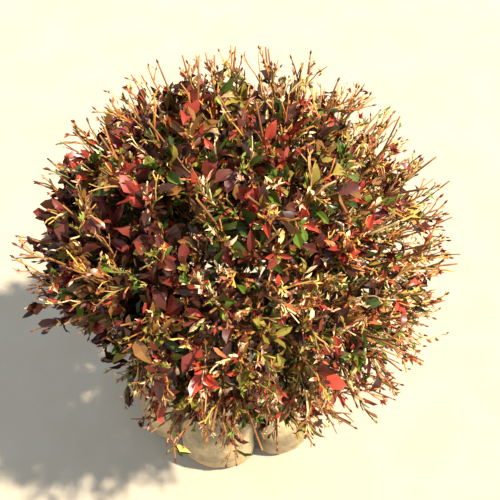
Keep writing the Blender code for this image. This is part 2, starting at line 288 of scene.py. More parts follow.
# %% [markdown]
# ## Pot
# The pot is cast stone with seven fat lobes, like a squat pumpkin cut off at the top. On the bench it would
# be turned first and carved after, and it is modelled in the same order: one upright outline is spun
# through seven arcs, a lobe to each arc, and then each ring is pressed in towards the creases.

# %% Measures of the pot
POT_OUTSIDE = (  # height, radius over the crest of a lobe, and how far the creases cut in
    (0.000, 0.164, 0.13),
    (0.008, 0.174, 0.16),
    (0.026, 0.180, 0.18),
    (0.055, 0.181, 0.19),
    (0.096, 0.174, 0.18),
    (0.134, 0.159, 0.14),
    (0.164, 0.142, 0.10),
    (0.182, 0.133, 0.06),
    (0.194, 0.134, 0.05),
    (0.200, 0.129, 0.04),
)
POT_INSIDE = ((0.200, 0.111), (0.190, 0.106), (0.110, 0.112), (0.022, 0.098))  # height and radius
LOBE_ANGLES = (55, 62, 49, 49, 50, 48, 47)  # degrees, from the first crease on
LOBE_SWELL = (1.00, 1.08, 1.02, 1.00, 1.01, 0.99, 0.98)  # how far each lobe's crest stands out
FIRST_CREASE = -124
LOBE_STEPS = 12
LOBE_ROUNDNESS = 3.2  # 2 is a round lobe, and more makes it squarer
CREASE_HOLD = 0.55  # how far smoothing is kept off the creases
ANGLE_SLACK = 0.01  # degrees by which a point on a crease may miss it
HEIGHT_SLACK = 1e-5
RADIUS_SLACK = 1e-4
WELD = 0.0001  # points nearer to each other than this are merged


# %% Modelling helpers
def deselect_everything():
    if bpy.context.mode != "OBJECT":
        bpy.ops.object.mode_set(mode="OBJECT")
    bpy.ops.object.select_all(action="DESELECT")


def pick(thing):
    """Makes one object the selected and active one."""
    deselect_everything()
    thing.select_set(True)
    bpy.context.view_layer.objects.active = thing


def edit_select(thing, indices):
    """In edit mode, selects just these vertices."""
    bpy.ops.object.mode_set(mode="OBJECT")
    chosen = np.zeros(len(thing.data.vertices), bool)
    chosen[list(indices)] = True
    thing.data.edges.foreach_set("select", np.zeros(len(thing.data.edges), bool))
    thing.data.polygons.foreach_set("select", np.zeros(len(thing.data.polygons), bool))
    thing.data.vertices.foreach_set("select", chosen)
    bpy.ops.object.mode_set(mode="EDIT")


def add_modifier(thing, kind, **settings):
    """Adds a modifier with its settings and applies it."""
    pick(thing)
    bpy.ops.object.modifier_add(type=kind)
    modifier = thing.modifiers[-1]
    for name, value in settings.items():
        setattr(modifier, name, value)
    bpy.ops.object.modifier_apply(modifier=modifier.name)


def relief(thing, kind, size, depth, group=""):
    """Pushes the surface in and out by a procedural pattern, within a vertex group if one is named."""
    pattern = bpy.data.textures.new(f"{thing.name}_{kind.lower()}", kind)
    pattern.noise_scale = size
    add_modifier(
        thing, "DISPLACE", texture=pattern, texture_coords="LOCAL", strength=depth, mid_level=0.5,
        vertex_group=group,
    )


def points_of(thing):
    """An object's vertices as an array of rows."""
    points = np.empty(len(thing.data.vertices) * 3)
    thing.data.vertices.foreach_get("co", points)
    return points.reshape(-1, 3)


def group_above(thing, name, height):
    """A vertex group of all that lies over a height."""
    higher = np.flatnonzero(points_of(thing)[:, 2] > height)
    thing.vertex_groups.new(name=name).add(higher.tolist(), 1, "REPLACE")


def finished(thing, slot, material, *nodes):
    """Gives a piece its material and its body, and hides the solids that it stands for; the slot is not
    used.
    """
    thing.data.materials.clear()
    thing.data.materials.append(material)
    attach(thing, "root")
    if nodes:
        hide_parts(*nodes)
    print(thing.name, "has", len(thing.data.polygons), "faces")


# %% Spin the outline through seven arcs
def outline_points():
    """The pot's outline, standing at the first crease: up the outside and down the inside."""
    outline = [(radius, height) for height, radius, _ in POT_OUTSIDE]
    outline += [(radius, height) for height, radius in POT_INSIDE]
    turn = math.radians(FIRST_CREASE)
    across, along = math.cos(turn), math.sin(turn)
    return [Vector((radius * across, radius * along, height)) for radius, height in outline]


def spun_pot():
    """One point, extruded into the outline, and spun by one lobe's angle after the other."""
    deselect_everything()
    outline = outline_points()
    bpy.ops.mesh.primitive_plane_add(size=0.01, enter_editmode=True)
    pot = bpy.context.object
    pot.name = "pot_stone"
    bpy.ops.mesh.merge(type="CENTER")
    bpy.ops.transform.translate(value=outline[0])
    for here, there in zip(outline, outline[1:]):
        bpy.ops.mesh.extrude_region_move(TRANSFORM_OT_translate={"value": there - here})
    bpy.ops.mesh.select_all(action="SELECT")
    for width in LOBE_ANGLES:
        turn = -math.radians(width)
        bpy.ops.mesh.spin(steps=LOBE_STEPS, angle=turn, center=(0, 0, 0), axis=(0, 0, 1))
    bpy.ops.mesh.select_all(action="SELECT")
    bpy.ops.mesh.remove_doubles(threshold=WELD)
    bpy.ops.mesh.fill_holes(sides=0)
    bpy.ops.mesh.select_all(action="SELECT")
    bpy.ops.mesh.normals_make_consistent(inside=False)
    bpy.ops.object.mode_set(mode="OBJECT")
    return pot


pot = spun_pot()
print("the spun pot has", len(pot.data.vertices), "points")

# %% [markdown]
# The round pot gets its lobes one ring at a time. In each ring, the points that lie equally far from a
# lobe's crest are scaled towards the axis together, most of all in the crease. The creases are then held,
# so that the smoothing that follows leaves them deep.

# %% Press in the creases
def lobe_place(angle):
    """(lobe, place across it from -1 to 1) of an angle round the pot, in degrees."""
    turned = (angle - FIRST_CREASE) % 360
    if turned > 360 - ANGLE_SLACK:
        turned = 0.0
    for lobe, width in enumerate(LOBE_ANGLES):
        if turned < width - ANGLE_SLACK:
            return lobe, 2 * turned / width - 1
        turned -= width
    return 0, -1.0


def outer_groups(pot):
    """The outside's points, grouped by ring, lobe and distance from the lobe's crest."""
    groups = {}
    middle_of_rim = (POT_INSIDE[0][1] + POT_OUTSIDE[-1][1]) / 2
    for index, (x, y, z) in enumerate(points_of(pot)):
        if math.hypot(x, y) < middle_of_rim:
            continue
        lobe, place = lobe_place(math.degrees(math.atan2(y, x)))
        for ring, (height, radius, _) in enumerate(POT_OUTSIDE):
            if abs(z - height) < HEIGHT_SLACK and abs(math.hypot(x, y) - radius) < RADIUS_SLACK:
                groups.setdefault((ring, lobe, round(abs(place), 3)), []).append(index)
    return groups


def press_lobes(pot):
    """Scales each group of points towards the axis, and holds the creases."""
    creases = []
    for (ring, lobe, place), indices in outer_groups(pot).items():
        height, _, crease = POT_OUTSIDE[ring]
        fullness = 1 - place**LOBE_ROUNDNESS
        size = (1 - crease * (1 - fullness)) * (1 + (LOBE_SWELL[lobe] - 1) * fullness)
        edit_select(pot, indices)
        bpy.ops.transform.resize(value=(size, size, 1), center_override=(0, 0, height))
        if place == 1:
            creases += indices
    edit_select(pot, creases)
    bpy.ops.transform.edge_crease(value=CREASE_HOLD)
    bpy.ops.object.mode_set(mode="OBJECT")


press_lobes(pot)

# %% [markdown]
# Cast stone is never smooth. Subdivision rounds the lobes, and two displacements then give the surface the
# lumps of a hand-finished mould and the pits that air leaves in the mix. The underside is kept out of both,
# because the pot has to stand flat.

# %% Round the pot and roughen it
POT_LUMPS = (0.030, 0.0035)  # size and depth
POT_PITS = (0.0045, 0.0011)
POT_FLAT_ZONE = 0.003


def roughen_pot(pot):
    add_modifier(pot, "SUBSURF", levels=2, render_levels=2)
    group_above(pot, "rough", POT_FLAT_ZONE)
    relief(pot, "CLOUDS", *POT_LUMPS, group="rough")
    relief(pot, "STUCCI", *POT_PITS, group="rough")
    pot.vertex_groups.clear()
    pick(pot)
    bpy.ops.object.shade_smooth()


def paint(thing, name, values):
    """Stores one number for each vertex, which a material can read."""
    layer = thing.data.attributes.new(name, "FLOAT", "POINT")
    layer.data.foreach_set("value", np.asarray(values, np.float32))


def crease_amount(pot):
    """0 on a lobe's crest, and 1 in a crease."""
    x, y, _ = points_of(pot).T
    return [abs(lobe_place(angle)[1]) for angle in np.degrees(np.arctan2(y, x))]


roughen_pot(pot)
paint(pot, "crease", crease_amount(pot))

# %% [markdown]
# The stone is a warm pale grey, rough and grainy. Rain has drawn faint streaks down it, painted shade
# darkens the creases, and the foot has taken up ochre from the ground. Each of these is a mask, and each
# mask mixes in a colour. The streaks follow the surface's direction round the axis, so they have no seam.

# %% Stone
STONE_LIGHT = (0.63, 0.45, 0.225)
STONE_DARK = (0.29, 0.21, 0.105)
STONE_STREAK = (0.17, 0.135, 0.07)
STONE_OCHRE = (0.56, 0.33, 0.11)
STONE_CREASE_SHADE = (0.035, 0.04, 0.025)
STONE_NOISES = {"rough": (85, 6, 0.7), "grain": (320, 6, 0.7), "blotches": (16, 5, 0.6)}
STREAK_SCALES = (22, 9)  # round the pot and down it
STREAK_NOISE = (1.0, 5.0, 0.6)
STONE_TURN = (0.38, 0.66)
STONE_LAYERS = (  # pattern, where it begins and is full, how much it covers, and its colour
    ("streaks", 0.52, 0.74, 0.25, STONE_STREAK),
    ("rough", 0.46, 0.66, 0.45, STONE_STREAK),
    ("grain", 0.45, 0.70, 0.50, STONE_DARK),
    ("blotches", 0.55, 0.72, 0.45, STONE_OCHRE),
)
STONE_BUMP = (0.65, 0.0020)  # strength and distance
STONE_ROUGHNESS = (0.80, 0.15)  # the least, and what the grain adds
GRAIN_RELIEF = 0.5
ROUGH_RELIEF = 0.9
PIT_SCALE = 150.0
PIT_EDGE = (0.05, 0.35)
PIT_DEPTH = 0.35
FOOT_STAIN = (0.012, 0.075)  # heights between which the ochre fades
FOOT_COVER = 0.7
FOOT_NOISE = (30, 5)
FOOT_EDGE = (0.42, 0.60)  # values of the noise between which the ochre comes in
CREASE_SHADE_TOP = (0.150, 0.185)  # heights between which the painted crease shade thins out
CREASE_SHADE_THINNING = 0.85
CREASE_SHADE_COVER = 0.97
CREASE_SHADE_NOISE = (45, 4)
CREASE_SHADE_EDGE = (0.20, 0.42)
CREASE_SHADE_BEGINS = (0.74, 0.98)  # how far into a crease the painted shade begins, and where it is full


def streaks(start, across_scale, down_scale):
    """Noise that runs down an upright surface, and has no seam round it."""
    place = start.make("ShaderNodeTexCoord", output="Object")
    around = place.vector("MULTIPLY", (1, 1, 0)).vector("NORMALIZE")
    wide = around.vector("MULTIPLY", (across_scale,) * 3)
    down = place.vector("MULTIPLY", (0, 0, down_scale))
    return noise(wide.vector("ADD", down), *STREAK_NOISE)


def stone_material():
    material, start = new_material("cast_stone")
    place = object_place(start)
    height = start.make("ShaderNodeSeparateXYZ", inputs={"Vector": place}, output="Z")
    crease = start.make("ShaderNodeAttribute", {"attribute_name": "crease"}, output="Fac")
    patterns = {"streaks": streaks(start, *STREAK_SCALES)}
    for name, shape in STONE_NOISES.items():
        patterns[name] = noise(place, *shape)
    colour = mixed(patterns["blotches"].between(*STONE_TURN), STONE_DARK, STONE_LIGHT)
    for name, begins, full, cover, layer_colour in STONE_LAYERS:
        colour = mixed(patterns[name].between(begins, full) * cover, colour, layer_colour)
    stain = (1 - height.between(*FOOT_STAIN)) * noise(place, *FOOT_NOISE).between(*FOOT_EDGE)
    colour = mixed(stain * FOOT_COVER, colour, STONE_OCHRE)
    # Painted shade: a near-black colour mixed into the creases, broken by noise and thinning towards the
    # rim.
    crease_shade = crease.between(*CREASE_SHADE_BEGINS) * noise(place, *CREASE_SHADE_NOISE).between(*CREASE_SHADE_EDGE)
    crease_shade = crease_shade * (1 - height.between(*CREASE_SHADE_TOP) * CREASE_SHADE_THINNING)
    colour = mixed(crease_shade * CREASE_SHADE_COVER, colour, STONE_CREASE_SHADE)
    pits = start.make("ShaderNodeTexVoronoi", inputs={"Vector": place, "Scale": PIT_SCALE})
    surface = patterns["grain"] * GRAIN_RELIEF + patterns["rough"] * ROUGH_RELIEF
    surface = surface - (1 - pits.between(*PIT_EDGE)) * PIT_DEPTH
    roughness = least_plus(patterns["grain"], *STONE_ROUGHNESS)
    finish(start, colour, roughness, {"Normal": bump(surface, *STONE_BUMP)})
    return material


finished(pot, "pot", stone_material(), "pot")

# %% [markdown]
# ## Soil
# The pot is filled to a finger's width under its rim. A closed disc of soil, sunk and lumpy, makes the
# ground, and crumbs scattered over it break the light. One crumb is modelled and then copied.

# %% Soil
SOIL_RADIUS = 0.1055
SOIL_TOP = 0.178
SOIL_DEPTH = 0.030
SOIL_SIDES = 96
SOIL_STEPS = 16  # rings between the soil's edge and its middle
SOIL_STEP = 0.006
SOIL_LUMPS = (0.012, 0.006)
SOIL_DARK = (0.022, 0.015, 0.010)
SOIL_LIGHT = (0.095, 0.065, 0.042)
SOIL_BUMP = (0.8, 0.002)
SOIL_CLODS = (90, 8, 0.7)
SOIL_GRIT = (260, 6, 0.75)
SOIL_TURN = (0.35, 0.7)
SOIL_ROUGHNESS = (0.85, 0.15)


def soil_disc():
    deselect_everything()
    middle = SOIL_TOP - SOIL_DEPTH / 2 - SOIL_LUMPS[1] / 4
    size = {"vertices": SOIL_SIDES, "radius": SOIL_RADIUS, "depth": SOIL_DEPTH}
    bpy.ops.mesh.primitive_cylinder_add(location=(0, 0, middle), **size)
    soil = bpy.context.object
    soil.name = "soil_surface"
    bpy.ops.object.transform_apply(location=True)
    edit_select(soil, np.flatnonzero(points_of(soil)[:, 2] > middle))
    for _ in range(SOIL_STEPS):
        bpy.ops.mesh.inset(thickness=SOIL_STEP)
    bpy.ops.mesh.merge(type="COLLAPSE")
    bpy.ops.object.mode_set(mode="OBJECT")
    add_modifier(soil, "SUBSURF", levels=1, render_levels=1, subdivision_type="SIMPLE")
    group_above(soil, "upper", middle)
    relief(soil, "CLOUDS", *SOIL_LUMPS, group="upper")
    return soil


def soil_material():
    material, start = new_material("potting_soil")
    place = object_place(start)
    clods = noise(place, *SOIL_CLODS)
    colour = mixed(clods.between(*SOIL_TURN), SOIL_DARK, SOIL_LIGHT)
    fine = bump(noise(place, *SOIL_GRIT), *SOIL_BUMP)
    finish(start, colour, least_plus(clods, *SOIL_ROUGHNESS), {"Normal": fine})
    return material


soil_finish = soil_material()
finished(soil_disc(), "soil", soil_finish, "soil")


# %% Copies of one small shape, joined into one mesh
def joined_mesh(name, points, faces):
    """An object from arrays: its points, and groups of faces, each group with its own number of corners."""
    mesh = bpy.data.meshes.new(name)
    mesh.vertices.add(len(points))
    mesh.vertices.foreach_set("co", np.asarray(points, np.float32).ravel())
    corners = [np.asarray(group) for group in faces if len(group)]
    counts = np.concatenate([np.full(len(group), group.shape[1]) for group in corners])
    mesh.loops.add(int(counts.sum()))
    mesh.loops.foreach_set("vertex_index", np.concatenate([group.ravel() for group in corners]))
    mesh.polygons.add(len(counts))
    mesh.polygons.foreach_set("loop_start", np.concatenate([[0], np.cumsum(counts)[:-1]]))
    mesh.update(calc_edges=True)
    thing = bpy.data.objects.new(name, mesh)
    bpy.context.scene.collection.objects.link(thing)
    return thing


def scattered(points, faces, count):
    """The faces of so many copies, whose points follow each other."""
    faces = np.asarray(faces)
    return (faces[None] + points * np.arange(count)[:, None, None]).reshape(-1, faces.shape[1])


# %% Crumbs
CRUMBS = 420
CRUMB_SIZE = (0.0012, 0.0034)
CRUMB_UNEVENNESS = (0.5, 1.0)  # least and most that each point of a crumb stands out
CRUMBS_OFF_EDGE = 0.006
CRUMBS_OFF_STEM = 0.06  # share of the disc's area round the stem that is left bare


def crumb_shape():
    """(points, faces) of a small round stone, which every crumb starts from."""
    deselect_everything()
    bpy.ops.mesh.primitive_ico_sphere_add(subdivisions=1, radius=1)
    crumb = bpy.context.object
    points = points_of(crumb)
    faces = [list(face.vertices) for face in crumb.data.polygons]
    bpy.data.objects.remove(crumb)
    return points, faces


def soil_crumbs():
    dice = np.random.default_rng(SEED)
    shape, faces = crumb_shape()
    radius = (SOIL_RADIUS - CRUMBS_OFF_EDGE) * np.sqrt(dice.uniform(CRUMBS_OFF_STEM, 1, CRUMBS))
    angle = dice.uniform(0, math.tau, CRUMBS)
    size = dice.uniform(*CRUMB_SIZE, (CRUMBS, 1, 1))
    size = size * dice.uniform(*CRUMB_UNEVENNESS, (CRUMBS, len(shape), 3))
    places = np.stack([radius * np.cos(angle), radius * np.sin(angle), np.full(CRUMBS, SOIL_TOP)], 1)
    points = (shape[None] * size + places[:, None]).reshape(-1, 3)
    return joined_mesh("soil_crumbs", points, [scattered(len(shape), faces, CRUMBS)])


finished(soil_crumbs(), "soil", soil_finish, "soil")

# %% [markdown]
# ## Wood
# The stem flares where its roots begin, and twelve boughs part at its top. Each limb is a curve with a
# thickness at each point. The limbs are made meshes, and a remesh then flows them into one skin, which
# gives every fork the webbed crotch that it has on a living shrub.

# %% Measures of the wood
STEM_FOOT = SOIL_TOP + GAP
STEM_TOP = 0.375
STEM_RADIUS = 0.0135
STEM_TAPER = 0.0035
FLARE = 0.012
FLARE_FALL = 9.0
STEM_BEND = Vector((0.006, -0.0035, 0))
STEM_RINGS = 16
STEM_CROWDING = 1.4  # over 1, the rings stand closer together near the foot
ROOTS = 5
ROOT_SPREAD = 0.027
ROOT_RISE = 0.030
ROOT_COURSE = (  # share of the spread, height over the soil, and radius
    (0.30, ROOT_RISE, 0.004),
    (0.55, ROOT_RISE * 0.35, 0.0052),
    (0.92, 0.002, 0.0038),
)
BOUGH_SHARE = 0.40  # of the way from the fork to the crown's surface
BOUGH_RADII = (0.0058, 0.0036)
BOUGH_RINGS = 9
BOUGH_BOW = 0.05
BOUGH_ROOT_DROP = 0.012  # how far under the fork a bough starts, inside the stem
BOUGH_STRAIGHT = 0.012


# %% Directions over the ball, as the solid model shares them out
GOLDEN_ANGLE = math.pi * (3 - math.sqrt(5))
NEARLY_UPRIGHT = 0.9  # past this rise of a direction, its sides are found from +X


def across(direction):
    """Two unit vectors square to a direction, and to each other."""
    upright = Vector((0, 0, 1)) if abs(direction.z) < NEARLY_UPRIGHT else Vector((1, 0, 0))
    sideways = direction.cross(upright).normalized()
    return sideways, sideways.cross(direction).normalized()


def ball_directions(count):
    """Evenly spaced directions over the ball, leaving out the cone round the stem."""
    lowest = -math.cos(CROWN_HOLE)
    found = []
    for index in range(count):
        z = 1 - (index + 0.5) / count * (1 - lowest)
        flat = math.sqrt(1 - z * z)
        angle = GOLDEN_ANGLE * index
        found.append(Vector((flat * math.cos(angle), flat * math.sin(angle), z)))
    return found


def crown_point(direction, reach=1.0):
    return CROWN_CENTRE + reach * Vector(a * b for a, b in zip(CROWN_RADIUS, direction))


def clipped_reach(direction):
    """How far out the clipped surface is along a direction, as a share of the even ball."""
    direction = direction.normalized()
    if direction.dot(HOLLOW_MIDDLE) < 0:
        return 1
    up = direction.dot(HOLLOW_UP) / HOLLOW_LENGTH
    aside = direction.dot(HOLLOW_MIDDLE.cross(HOLLOW_UP)) / HOLLOW_WIDTH
    return 1 - HOLLOW_DEPTH * max(0, 1 - up * up - aside * aside) ** 2


def from_fork(point):
    return (point - FORK).normalized()


def bough_length(axis):
    """From the fork, along an axis, to where the mass of foliage begins."""
    away = FORK - CROWN_CENTRE
    scaled_axis = Vector(a / b for a, b in zip(axis, CROWN_RADIUS))
    scaled_away = Vector(a / b for a, b in zip(away, CROWN_RADIUS))
    half = scaled_axis.dot(scaled_away)
    square = scaled_axis.length_squared
    reach = (math.sqrt(half * half - square * (scaled_away.length_squared - 1)) - half) / square
    return BOUGH_SHARE * reach


# %% Limbs as curves
def limb(name, centres, radii):
    """A round limb through the centres, as thick as the radii say, made a mesh."""
    curve = bpy.data.curves.new(name, "CURVE")
    curve.dimensions = "3D"
    curve.bevel_depth = 1.0  # which each point's own radius multiplies
    curve.bevel_resolution = 3
    curve.use_fill_caps = True
    line = curve.splines.new("POLY")
    line.points.add(len(centres) - 1)
    for point, centre, radius in zip(line.points, centres, radii):
        point.co = (*centre, 1)
        point.radius = radius
    thing = bpy.data.objects.new(name, curve)
    bpy.context.scene.collection.objects.link(thing)
    pick(thing)
    bpy.ops.object.convert(target="MESH")
    return bpy.context.object


def stem_centre(share):
    height = Vector((0, 0, STEM_FOOT + (STEM_TOP - STEM_FOOT) * share))
    return height + STEM_BEND * math.sin(math.pi * share) + STEM_LEAN * share


def stem_radius(share):
    return STEM_RADIUS - STEM_TAPER * share + FLARE * math.exp(-FLARE_FALL * share)


def stem_limbs():
    """The stem, and the swellings that run down from it into its roots."""
    shares = [(ring / (STEM_RINGS - 1)) ** STEM_CROWDING for ring in range(STEM_RINGS)]
    centres = [stem_centre(share) for share in shares]
    made = [limb("stem", centres, [stem_radius(share) for share in shares])]
    foot = stem_centre(0)
    for root in range(ROOTS):
        turn = math.tau * root / ROOTS
        out = Vector((math.cos(turn), math.sin(turn), 0))
        centres = [foot + out * ROOT_SPREAD * far + Vector((0, 0, rise)) for far, rise, _ in ROOT_COURSE]
        made.append(limb(f"root_{root}", centres, [radius for *_, radius in ROOT_COURSE]))
    return made


def bough_centres(axis):
    """A bough's line: from inside the stem, bowed a little, and straight at its end."""
    length = bough_length(axis)
    start = FORK - Vector((0, 0, BOUGH_ROOT_DROP))
    end = FORK + axis * length
    sideways, _ = across(axis)
    elbow = start.lerp(end, 0.5) + sideways * BOUGH_BOW * length
    before_end = end - axis * BOUGH_STRAIGHT
    centres = []
    for ring in range(BOUGH_RINGS):
        share = ring / (BOUGH_RINGS - 1)
        centres.append((1 - share) ** 2 * start + 2 * share * (1 - share) * elbow + share**2 * before_end)
    return centres + [end]


def bough_limb(number, axis):
    thick, thin = BOUGH_RADII
    radii = [thick + (thin - thick) * ring / BOUGH_RINGS for ring in range(BOUGH_RINGS + 1)]
    return limb(f"bough_{number}", bough_centres(axis), radii)


# %% [markdown]
# After the remesh, the skin is pushed in and out a little for the bark's ridges. Finer cracks run along the
# stem in the material's bump, where they cost nothing.

# %% One skin of wood
WOOD_GRAIN = 0.0015  # size of the remesh's cells
BARK_LUMPS = (0.007, 0.0014)
BARK_DARK = (0.055, 0.035, 0.022)
BARK_LIGHT = (0.26, 0.18, 0.11)
BARK_LICHEN = (0.20, 0.19, 0.14)
BARK_STRETCH = (1, 1, 0.18)  # draws the cracks out along the stem
BARK_BUMP = (0.7, 0.0012)
BARK_CRACKS = (420, 6, 0.65)
BARK_PATCHES = (40, 4)
BARK_TURN = (0.35, 0.65)
BARK_ROUGHNESS = (0.85, 0.1)
LICHEN_EDGE = (0.5, 0.7)
LICHEN_COVER = 0.4
mass_axes = [from_fork(crown_point(direction)) for direction in ball_directions(MASSES)]


def wood_skin():
    limbs = stem_limbs() + [bough_limb(number, axis) for number, axis in enumerate(mass_axes)]
    deselect_everything()
    for thing in limbs:
        thing.select_set(True)
    bpy.context.view_layer.objects.active = limbs[0]
    bpy.ops.object.join()
    wood = bpy.context.object
    wood.name = "stem_and_boughs"
    add_modifier(wood, "REMESH", mode="VOXEL", voxel_size=WOOD_GRAIN)
    relief(wood, "CLOUDS", *BARK_LUMPS)
    pick(wood)
    bpy.ops.object.shade_smooth()
    return wood


def bark_material():
    material, start = new_material("bark")
    cracks = noise(object_place(start, BARK_STRETCH), *BARK_CRACKS)
    patches = noise(object_place(start), *BARK_PATCHES)
    colour = mixed(cracks.between(*BARK_TURN), BARK_DARK, BARK_LIGHT)
    colour = mixed(patches.between(*LICHEN_EDGE) * LICHEN_COVER, colour, BARK_LICHEN)
    roughness = least_plus(cracks, *BARK_ROUGHNESS)
    finish(start, colour, roughness, {"Normal": bump(cracks, *BARK_BUMP)})
    return material


finished(wood_skin(), "bark", bark_material(), "stem", *BOUGH_NODES)

# %% [markdown]
# ## Twigs
# The solid model grows its foliage by a seeded rule: from each bough's tip a stem, from the stem limbs,
# and from the limbs twigs that end at the clipped surface. The same rule with the same seed is run again
# here, so that the finer growth starts from the same twigs.

# %% The rule of the solid model, written again
STEM_TWIG_LENGTH = 0.034
LIMB_SHARE = 0.66  # how far out a limb ends, from the fork to the crown's surface
SUNK = 0.003  # how deep in its bearer a limb or a twig starts
LIMB_STEP = 0.0055  # between one limb and the next along a stem
TWIG_STEP = 0.010


def strayed(directions, chance, amount):
    """The directions, each moved a little at random."""
    shifts = [Vector([chance.gauss(0, 1) for _ in range(3)]) for _ in directions]
    return [(direction + shift * amount).normalized() for direction, shift in zip(directions, shifts)]


def nearest(direction, choices):
    return max(range(len(choices)), key=lambda index: direction.dot(choices[index]))


def pulled_in(point, owner, clear):
    """The point, moved inwards until it is clear of the sides of the owner's cone."""
    others = [axis for index, axis in enumerate(mass_axes) if index != owner]
    inwards = [(mass_axes[owner] - axis).normalized() for axis in others]
    for _ in mass_axes:
        inward = min(inwards, key=lambda way: way.dot(point - FORK))
        distance = inward.dot(point - FORK)
        if distance >= clear:
            break
        point = point + inward * (clear - distance + GAP)
    return point


def crown_plan():
    """For each mass its limbs, each with its twig tips."""
    chance = random.Random(SEED)
    limbs = [[] for _ in mass_axes]
    for direction in strayed(ball_directions(LIMBS), chance, LIMB_STRAY):
        aim = crown_point(direction)
        owner = nearest(from_fork(aim), mass_axes)
        end = pulled_in(FORK.lerp(aim, LIMB_SHARE), owner, CLEAR_OF_NEXT_MASS)
        limbs[owner].append((end, []))
    for direction in strayed(ball_directions(TWIGS), chance, TWIG_STRAY):
        tip = crown_point(direction, clipped_reach(direction) * chance.uniform(*TIP_REACH))
        owner = nearest(from_fork(tip), mass_axes)
        tip = pulled_in(tip, owner, CLEAR_OF_NEXT_MASS)
        choices = [from_fork(end) for end, _ in limbs[owner]]
        limbs[owner][nearest(from_fork(tip), choices)][1].append(tip)
    return limbs


def aligned_first(ends, root, direction):
    """The ends, with those most in line with the parent's direction first."""
    return sorted(ends, key=lambda end: -direction.dot((end - root).normalized()))


def framework():
    """(start, end, mass) of all stems, limbs and twigs."""
    stems, limb_lines, twig_lines = [], [], []
    for owner, (axis, limbs) in enumerate(zip(mass_axes, crown_plan())):
        root = FORK + axis * bough_length(axis)
        fork = root + axis * STEM_TWIG_LENGTH
        stems.append((root, fork, owner))
        tips_of = {tuple(end): tips for end, tips in limbs}
        for place, limb_end in enumerate(aligned_first([end for end, _ in limbs], fork, axis)):
            limb_start = fork - axis * (SUNK + LIMB_STEP * place)
            along = (limb_end - limb_start).normalized()
            limb_lines.append((limb_start, limb_end, owner))
            for step, tip in enumerate(aligned_first(tips_of[tuple(limb_end)], limb_end, along)):
                twig_lines.append((limb_end - along * (SUNK + TWIG_STEP * step), tip, owner))
    return stems, limb_lines, twig_lines


stem_lines, limb_lines, twig_lines = framework()
print(len(stem_lines), "stems,", len(limb_lines), "limbs and", len(twig_lines), "twigs")

# %% [markdown]
# Thousands of twigs are quicker as arrays than as objects. Every twig is a bent tube: a row of centres and
# a row of radii. The tubes of one kind become one mesh.

# %% Bent tubes by the thousand
dice = np.random.default_rng(SEED)
TINY = 1e-9  # keeps a division by a length of nothing harmless
ALMOST_THE_END = 0.999
TUBE_VARIETY = (0.85, 1.15)


def unit(vectors):
    return vectors / np.maximum(np.linalg.norm(vectors, axis=-1, keepdims=True), TINY)


def side_axes(directions):
    """Two unit vectors square to each direction, and to each other."""
    is_flat = np.abs(directions[..., 2:]) < NEARLY_UPRIGHT
    upright = np.where(is_flat, [[0.0, 0.0, 1.0]], [[1.0, 0.0, 0.0]])
    sideways = unit(np.cross(directions, upright))
    return sideways, np.cross(sideways, directions)


def turned_aside(along, lean):
    """Directions that lean away from the given ones, each to a side of its own."""
    sideways, upwards = side_axes(along)
    turn = dice.uniform(0, math.tau, (len(along), 1))
    return np.cos(lean) * along + np.sin(lean) * (np.cos(turn) * sideways + np.sin(turn) * upwards)


def bent_lines(starts, controls, ends, count):
    """Points along a quadratic curve for each start, control and end."""
    share = np.linspace(0, 1, count)[None, :, None]
    first, second, third = starts[:, None], controls[:, None], ends[:, None]
    return (1 - share) ** 2 * first + 2 * share * (1 - share) * second + share**2 * third


def bowed_lines(starts, ends, bow, count):
    """Lines from starts to ends that bow sideways by a share of their length."""
    reach = ends - starts
    length = np.linalg.norm(reach, axis=1, keepdims=True)
    sideways = turned_aside(unit(reach), math.pi / 2) * length * bow
    return bent_lines(starts, (starts + ends) / 2 + sideways, ends, count)


def along_lines(lines, rows, share):
    """The points at a share of the way along the lines in these rows, and the directions there."""
    place = np.clip(share, 0, ALMOST_THE_END) * (lines.shape[1] - 1)
    below = np.floor(place).astype(int)
    part = (place - below)[:, None]
    low, high = lines[rows, below], lines[rows, below + 1]
    return low * (1 - part) + high * part, unit(high - low)


def tapering(lines, thick, thin):
    """Radii that go from thick to thin along each line, with a little variety between lines."""
    share = np.linspace(0, 1, lines.shape[1])[None]
    return (thick + (thin - thick) * share) * dice.uniform(*TUBE_VARIETY, (len(lines), 1))


def tubes(lines, radii, sides):
    """(points, groups of faces) of closed round tubes along the lines."""
    count, rings, _ = lines.shape
    along = unit(np.gradient(lines, axis=1))
    sideways, upwards = (axes[:, :, None] for axes in side_axes(along))
    angle = -np.arange(sides)[:, None] * math.tau / sides
    around = np.cos(angle) * sideways + np.sin(angle) * upwards
    points = lines[:, :, None] + radii[:, :, None, None] * around
    quads = []
    for ring in range(rings - 1):
        for side in range(sides):
            following = (side + 1) % sides
            low, high = ring * sides, (ring + 1) * sides
            quads.append((low + side, low + following, high + following, high + side))
    last = (rings - 1) * sides
    caps = [tuple(reversed(range(sides))), tuple(range(last, last + sides))]
    per_tube = rings * sides
    faces = [scattered(per_tube, quads, count), scattered(per_tube, caps, count)]
    return points.reshape(-1, 3), faces


def merged(parts):
    """Several (points, groups of faces) as one."""
    points, faces, shift = [], [], 0
    for some_points, groups in parts:
        points.append(some_points)
        faces += [group + shift for group in groups]
        shift += len(some_points)
    return np.concatenate(points), faces


# %% [markdown]
# Growth stops at the surface that the shears leave. The ball has a hollow where they cut deeper, low at
# the front left, so the test counts in shares of the way to that surface. A few strays that the shears
# missed on the near side are let past it, but never out of the solid model's box.

# %% Keep to the clipped outline
FURTHEST = 1.02
STRAY_ROOM = 0.11  # how far past the surface strays may stand
BUD_ROOM = 0.008  # left inside the solid model's box for the buds


def ball_directions_of(points):
    """Directions from the crown's centre, as on an even ball, and how far out each point is."""
    out = (points - np.array(CROWN_CENTRE)) / np.array(CROWN_RADIUS)
    far = np.linalg.norm(out, axis=-1)
    return out / far[..., None], far


